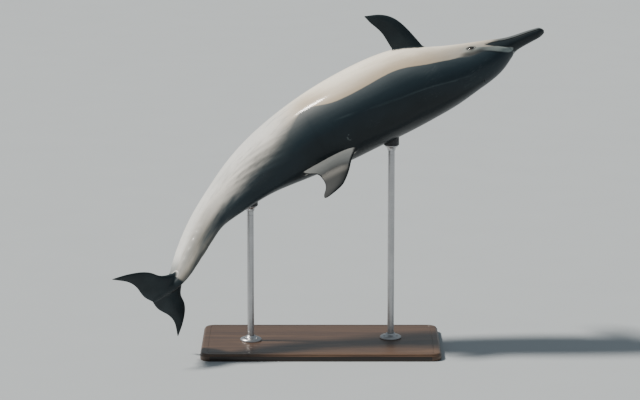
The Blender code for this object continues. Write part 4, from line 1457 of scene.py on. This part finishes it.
def standing(box):
    """The middle of a box's underside, and the height of its top."""
    low, high = (np.array(corner) for corner in box)
    return (low + high) / 2 * (1, 1, 0) + UP * low[2], high[2]


wood, start = new_look("oiled_hardwood", Coat_Weight=0.25, Coat_Roughness=0.30)
place = start.place()
low, high = (np.array(corner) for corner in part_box("stand_base"))
stave = (place.parts()[1] - float(low[1])) / STAVE
plank = stave.maths("FLOOR", stave)
from_seam = abs(stave - plank - 0.5)
apart = place.node("ShaderNodeCombineXYZ", {}, {0: plank * 3.7, 1: plank * 0.6})
fibre = place.node("ShaderNodeVectorMath", {"operation": "ADD"}, {0: place, 1: apart})
board = fibre.stretched(1.1, 17.0, 17.0).noise(1.0, 5.0, 0.62, 1.2)
pore = fibre.stretched(16.0, 620.0, 620.0).noise(1.0, 2.0, 0.5)
wood_colour = board.step(0.30, 0.68).mix(WOOD_DARK, WOOD)
wood_colour = (plank * 0.22).mix(wood_colour, WOOD_DARK)
wood_colour = (pore.step(0.58, 0.72) * 0.75).mix(wood_colour, WOOD_PORE)
wood_colour = from_seam.step(*SEAM).mix(wood_colour, WOOD_PORE)
wood_height = 0.0002 * board - 0.00008 * pore.step(0.55, 0.72)
finish(wood, Base_Color=wood_colour, Roughness=0.34 + 0.22 * pore, Normal=start.bump(wood_height, 0.5))

turns = (np.arange(4)[:, None] + np.linspace(0, 1, CORNER_STEPS + 1)) * np.pi / 2
half = (high - low)[:2] / 2 - BASE_CORNER
signs = np.array([(1, 1), (-1, 1), (-1, -1), (1, -1)])
rounds = (signs * half + (low + high)[:2] / 2)[:, None, :]
away = np.stack([np.cos(turns), np.sin(turns)], axis=-1)
base_rings = []
for inset, level in BASE_PROFILE:
    flat = (rounds + away * (BASE_CORNER - inset)).reshape(-1, 2)
    base_rings.append(np.column_stack([flat, np.full(len(flat), low[2] + level)]))
add_piece("base_board", [skinned(base_rings)], wood, "stand_base")

# The feet. Turned stainless steel flanges, each held down by three socket screws, with a collar
# that grips the rod.
FOOT_PROFILE = (
    (0.0443, 0.0000),
    (0.0450, 0.0007),
    (0.0450, 0.0066),
    (0.0443, 0.0077),
    (0.0392, 0.0112),
    (0.0375, 0.0119),
    (0.0250, 0.0140),
    (0.0224, 0.0149),
    (0.0211, 0.0163),
    (0.0204, 0.0185),
    (0.0192, 0.0212),
    (0.0184, 0.0219),
    (0.0152, 0.0220),
)
TURNED_SIDES = 72
SCREW_RING = 0.0310  # the circle that the screws stand on, and its height
SCREW_RING_LEVEL = 0.0118
SCREW_TURNS = (90, 210, 330)
SCREW_PROFILE = ((0.0046, 0.0), (0.0046, 0.0030), (0.0043, 0.0036), (0.0038, 0.0038))
SCREW_SIDES = 36
SOCKET = 0.0022  # across half the hexagon's flats
SOCKET_FLOOR = 0.0012
STEEL = (0.56, 0.56, 0.57)
STEEL_WORN = (0.42, 0.42, 0.43)


def lathe(profile, middle):
    """A solid turned about a vertical axis, from (radius, height) points from the bottom up."""
    return skinned([middle + circle(TURNED_SIDES) * radius + UP * level for radius, level in profile])


def socket_screw(middle, out, up):
    """A screw head with a hexagon socket, standing along a direction."""
    flat = circle(SCREW_SIDES) @ np.array([out, np.cross(up, out), up])
    around = np.linspace(0, 2 * np.pi, SCREW_SIDES, endpoint=False)
    hexagon = SOCKET / np.cos((around % (np.pi / 3)) - np.pi / 6)
    rows = SCREW_PROFILE + ((hexagon, SCREW_PROFILE[-1][1]), (hexagon, SOCKET_FLOOR))
    return skinned([middle + flat * np.reshape(radius, (-1, 1)) + up * level for radius, level in rows])


steel, start = new_look("brushed_steel", Metallic=1.0)
place = start.place()
brushed = place.stretched(30.0, 30.0, 1500.0).noise(1.0, 3.0, 0.6)
handled = place.noise(16.0, 3.0, 0.55)
steel_height = 0.00003 * brushed
finish(
    steel,
    Base_Color=(brushed * 0.6 + handled * 0.4).step(0.35, 0.70).mix(STEEL_WORN, STEEL),
    Roughness=0.20 + 0.16 * brushed + 0.10 * handled,
    Normal=start.bump(steel_height, 0.4),
)

for end in ("front", "rear"):
    foot_middle, _ = standing(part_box("stand_foot_" + end))
    parts = [lathe(FOOT_PROFILE, foot_middle)]
    for turned_by in np.radians(SCREW_TURNS):
        out = np.array([math.cos(turned_by), math.sin(turned_by), 0])
        parts.append(socket_screw(foot_middle + out * SCREW_RING + UP * SCREW_RING_LEVEL, out, UP))
    add_piece("foot_" + end, parts, steel, "stand_foot_" + end)

# The rods. Straight stainless bars, brushed round their length, with chamfered ends and a fine
# turned line near each end. Each is gripped by the foot below and by the cup above.
ROD_RADIUS = 0.014
ROD_CHAMFER = 0.0010
ROD_LINE = 0.018  # from the end to the turned line
LINE_DEPTH, LINE_HALF, LINE_FLOOR_HALF = 0.0006, 0.0008, 0.0003
ROD_END = (
    (ROD_RADIUS - ROD_CHAMFER, 0.0),
    (ROD_RADIUS, ROD_CHAMFER),
    (ROD_RADIUS, ROD_LINE - LINE_HALF),
    (ROD_RADIUS - LINE_DEPTH, ROD_LINE - LINE_FLOOR_HALF),
    (ROD_RADIUS - LINE_DEPTH, ROD_LINE + LINE_FLOOR_HALF),
    (ROD_RADIUS, ROD_LINE + LINE_HALF),
)
for end in ("front", "rear"):
    rod_middle, rod_top = standing(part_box("stand_rod_" + end))
    far_end = [(radius, rod_top - rod_middle[2] - level) for radius, level in reversed(ROD_END)]
    rod = lathe([*ROD_END, *far_end], rod_middle)
    add_piece("rod_" + end, [rod], steel, "stand_rod_" + end)

# The cups. Turned steel saucers on top of the rods, which carry the felt pads; a socket screw
# through each collar holds it to its rod.
CUP_PROFILE = (
    (0.0152, 0.0000),
    (0.0166, 0.0003),
    (0.0170, 0.0012),
    (0.0180, 0.0066),
    (0.0184, 0.0088),
    (0.0196, 0.0108),
    (0.0226, 0.0134),
    (0.0258, 0.0160),
    (0.0270, 0.0176),
    (0.0284, 0.0192),
    (0.0288, 0.0208),
    (0.0283, 0.0218),
    (0.0268, 0.0220),
)
GRUB_TURN = -1.1  # radians round the rod
GRUB_OUT, GRUB_LEVEL = 0.0152, 0.0050
grub_way = np.array([math.cos(GRUB_TURN), math.sin(GRUB_TURN), 0])
for end in ("front", "rear"):
    cup_middle, _ = standing(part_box("stand_cup_" + end))
    grub = socket_screw(cup_middle + grub_way * GRUB_OUT + UP * GRUB_LEVEL, UP, grub_way)
    parts = [lathe(CUP_PROFILE, cup_middle), grub]
    add_piece("cup_" + end, parts, steel, "stand_cup_" + end)

# The pads. Discs of dark pressed felt in thin plies, cut on top to the lie of the hide and glued
# into the cups, so that no steel touches the animal.
PAD_RADIUS = 0.0318
PAD_EDGE = 0.0010  # how far the top and the underside are rounded off
PAD_UNDERSIDE = 0.0008
PLY = 0.0040
SEAM_HALF, SEAM_DEPTH = 0.0006, 0.0007
SEAM_CLEAR = 0.0012  # how far below the top the last seam may end
UNDER_HIDE = 0.0004  # between the felt and the hide
PAD_RINGS = (PAD_RADIUS - PAD_EDGE, 0.024, 0.016, 0.008, 0.001)
FELT_REACH = 0.2  # how far up the hide is looked for
FELT = (0.030, 0.030, 0.033)
FELT_PALE = (0.075, 0.075, 0.080)

felt, start = new_look("pressed_felt", Sheen_Weight=0.35, Sheen_Roughness=0.5)
place = start.place()
fluff = place.noise(900.0, 3.0, 0.7)
hair = place.stretched(300.0, 700.0, 400.0).noise(1.0, 2.0, 0.6, 2.0)
felt_colour = (fluff * 0.5 + hair * 0.5).step(0.45, 0.72).mix(FELT, FELT_PALE)
finish(felt, Base_Color=felt_colour, Roughness=0.88 + 0.12 * fluff, Normal=start.bump(0.0006 * hair, 0.8))

hide_tree = BVHTree.FromPolygons(world.tolist(), faces)


def hide_over(middle, radius, highest):
    """How high over a pad's underside its top lies, round a circle: just under the hide."""
    heights = []
    for way_out in circle(TURNED_SIDES):
        hit = hide_tree.ray_cast(Vector(middle + radius * way_out), Vector(UP), FELT_REACH)[0]
        heights.append(min(hit.z if hit else highest, highest) - middle[2] - UNDER_HIDE)
    return np.array(heights)


ring = circle(TURNED_SIDES)
for end in ("front", "rear"):
    middle, pad_top = standing(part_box("stand_pad_" + end))
    top = hide_over(middle, PAD_RADIUS, pad_top)
    rings = [middle + ring * (PAD_RADIUS - PAD_EDGE), middle + ring * PAD_RADIUS + UP * PAD_UNDERSIDE]
    level = PLY
    while level < top.max():
        for offset, tuck in ((-SEAM_HALF, 0), (0, SEAM_DEPTH), (SEAM_HALF, 0)):
            height = np.minimum(level + offset, top - SEAM_CLEAR)
            rings.append(middle + ring * (PAD_RADIUS - tuck) + np.outer(height, UP))
        level += PLY
    rings.append(middle + ring * PAD_RADIUS + np.outer(top - PAD_EDGE, UP))
    for radius in PAD_RINGS:
        height = hide_over(middle, radius, pad_top)
        rings.append(middle + ring * radius + np.outer(height, UP))
    add_piece("pad_" + end, [skinned(rings)], felt, "stand_pad_" + end)

# The floor. A plain, pale, matt studio floor of painted board, laid flat and joined out of
# sight. It only carries the stand and takes its soft shadow.
FLOOR_SIZE, FLOOR_BEHIND = 80, 20
FLOOR_GREY = (0.345, 0.37, 0.39)
FLOOR_PALE = (0.365, 0.39, 0.41)
bpy.ops.mesh.primitive_plane_add(size=FLOOR_SIZE, location=(0, FLOOR_BEHIND, 0))
floor = bpy.context.object
floor.name = "floor"
floor_look, start = new_look("floor", Roughness=0.75)
finish(floor_look, Base_Color=start.place().noise(3.0, 3.0, 0.5).mix(FLOOR_GREY, FLOOR_PALE))
floor.data.materials.append(floor_look)

# The camera. It looks a little down on the animal's left side from far off, through a long
# lens, and keeps the whole animal and its stand in view.
DEPRESSION = math.radians(11.0)
CAMERA_AWAY = 11.949
CAMERA_LEFT, CAMERA_LOWER = 0.0417, 0.0702  # how far it looks past the middle of the whole
LENS, FILM_WIDTH = 161.2, 36  # millimetres
SEES_TO = 200
middle = (np.array(cad_box[0]) + np.array(cad_box[1])) / 2
view_up = np.array([0, math.sin(DEPRESSION), math.cos(DEPRESSION)])
view_back = np.array([0, -math.cos(DEPRESSION), math.sin(DEPRESSION)])
camera_data = bpy.data.cameras.new("camera")
camera = bpy.data.objects.new("camera", camera_data)
bpy.context.scene.collection.objects.link(camera)
looked_at = middle - np.array([CAMERA_LEFT, 0, 0]) - CAMERA_LOWER * view_up
camera.location = looked_at + CAMERA_AWAY * view_back
camera.rotation_euler = (math.pi / 2 - DEPRESSION, 0, 0)
camera_data.lens = LENS
camera_data.sensor_width = FILM_WIDTH
camera_data.clip_end = SEES_TO
bpy.context.scene.camera = camera

# The light. A soft pale surround from all sides, and one broad warm light, hung high on the
# left, which models the round of the back and leaves a streak on the wet hide.
SURROUND = (0.80, 0.92, 1.0)
SURROUND_STRENGTH = 0.36
KEY_COLOUR = (1.0, 0.95, 0.87)
KEY_STRENGTH = 6.6
KEY_SPREAD = math.radians(8)
KEY_FROM = (-0.624, 0.020, 0.781)  # left, a little behind, and high
world_light = bpy.data.worlds.new("studio")
bpy.context.scene.world = world_light
world_light.use_nodes = True
background = world_light.node_tree.nodes["Background"]
background.inputs["Color"].default_value = (*SURROUND, 1)
background.inputs["Strength"].default_value = SURROUND_STRENGTH
key = bpy.data.objects.new("key", bpy.data.lights.new("key", "SUN"))
bpy.context.scene.collection.objects.link(key)
key.data.angle = KEY_SPREAD
key.data.energy = KEY_STRENGTH
key.data.color = KEY_COLOUR
key.rotation_euler = Vector(KEY_FROM).normalized().to_track_quat("Z", "Y").to_euler()
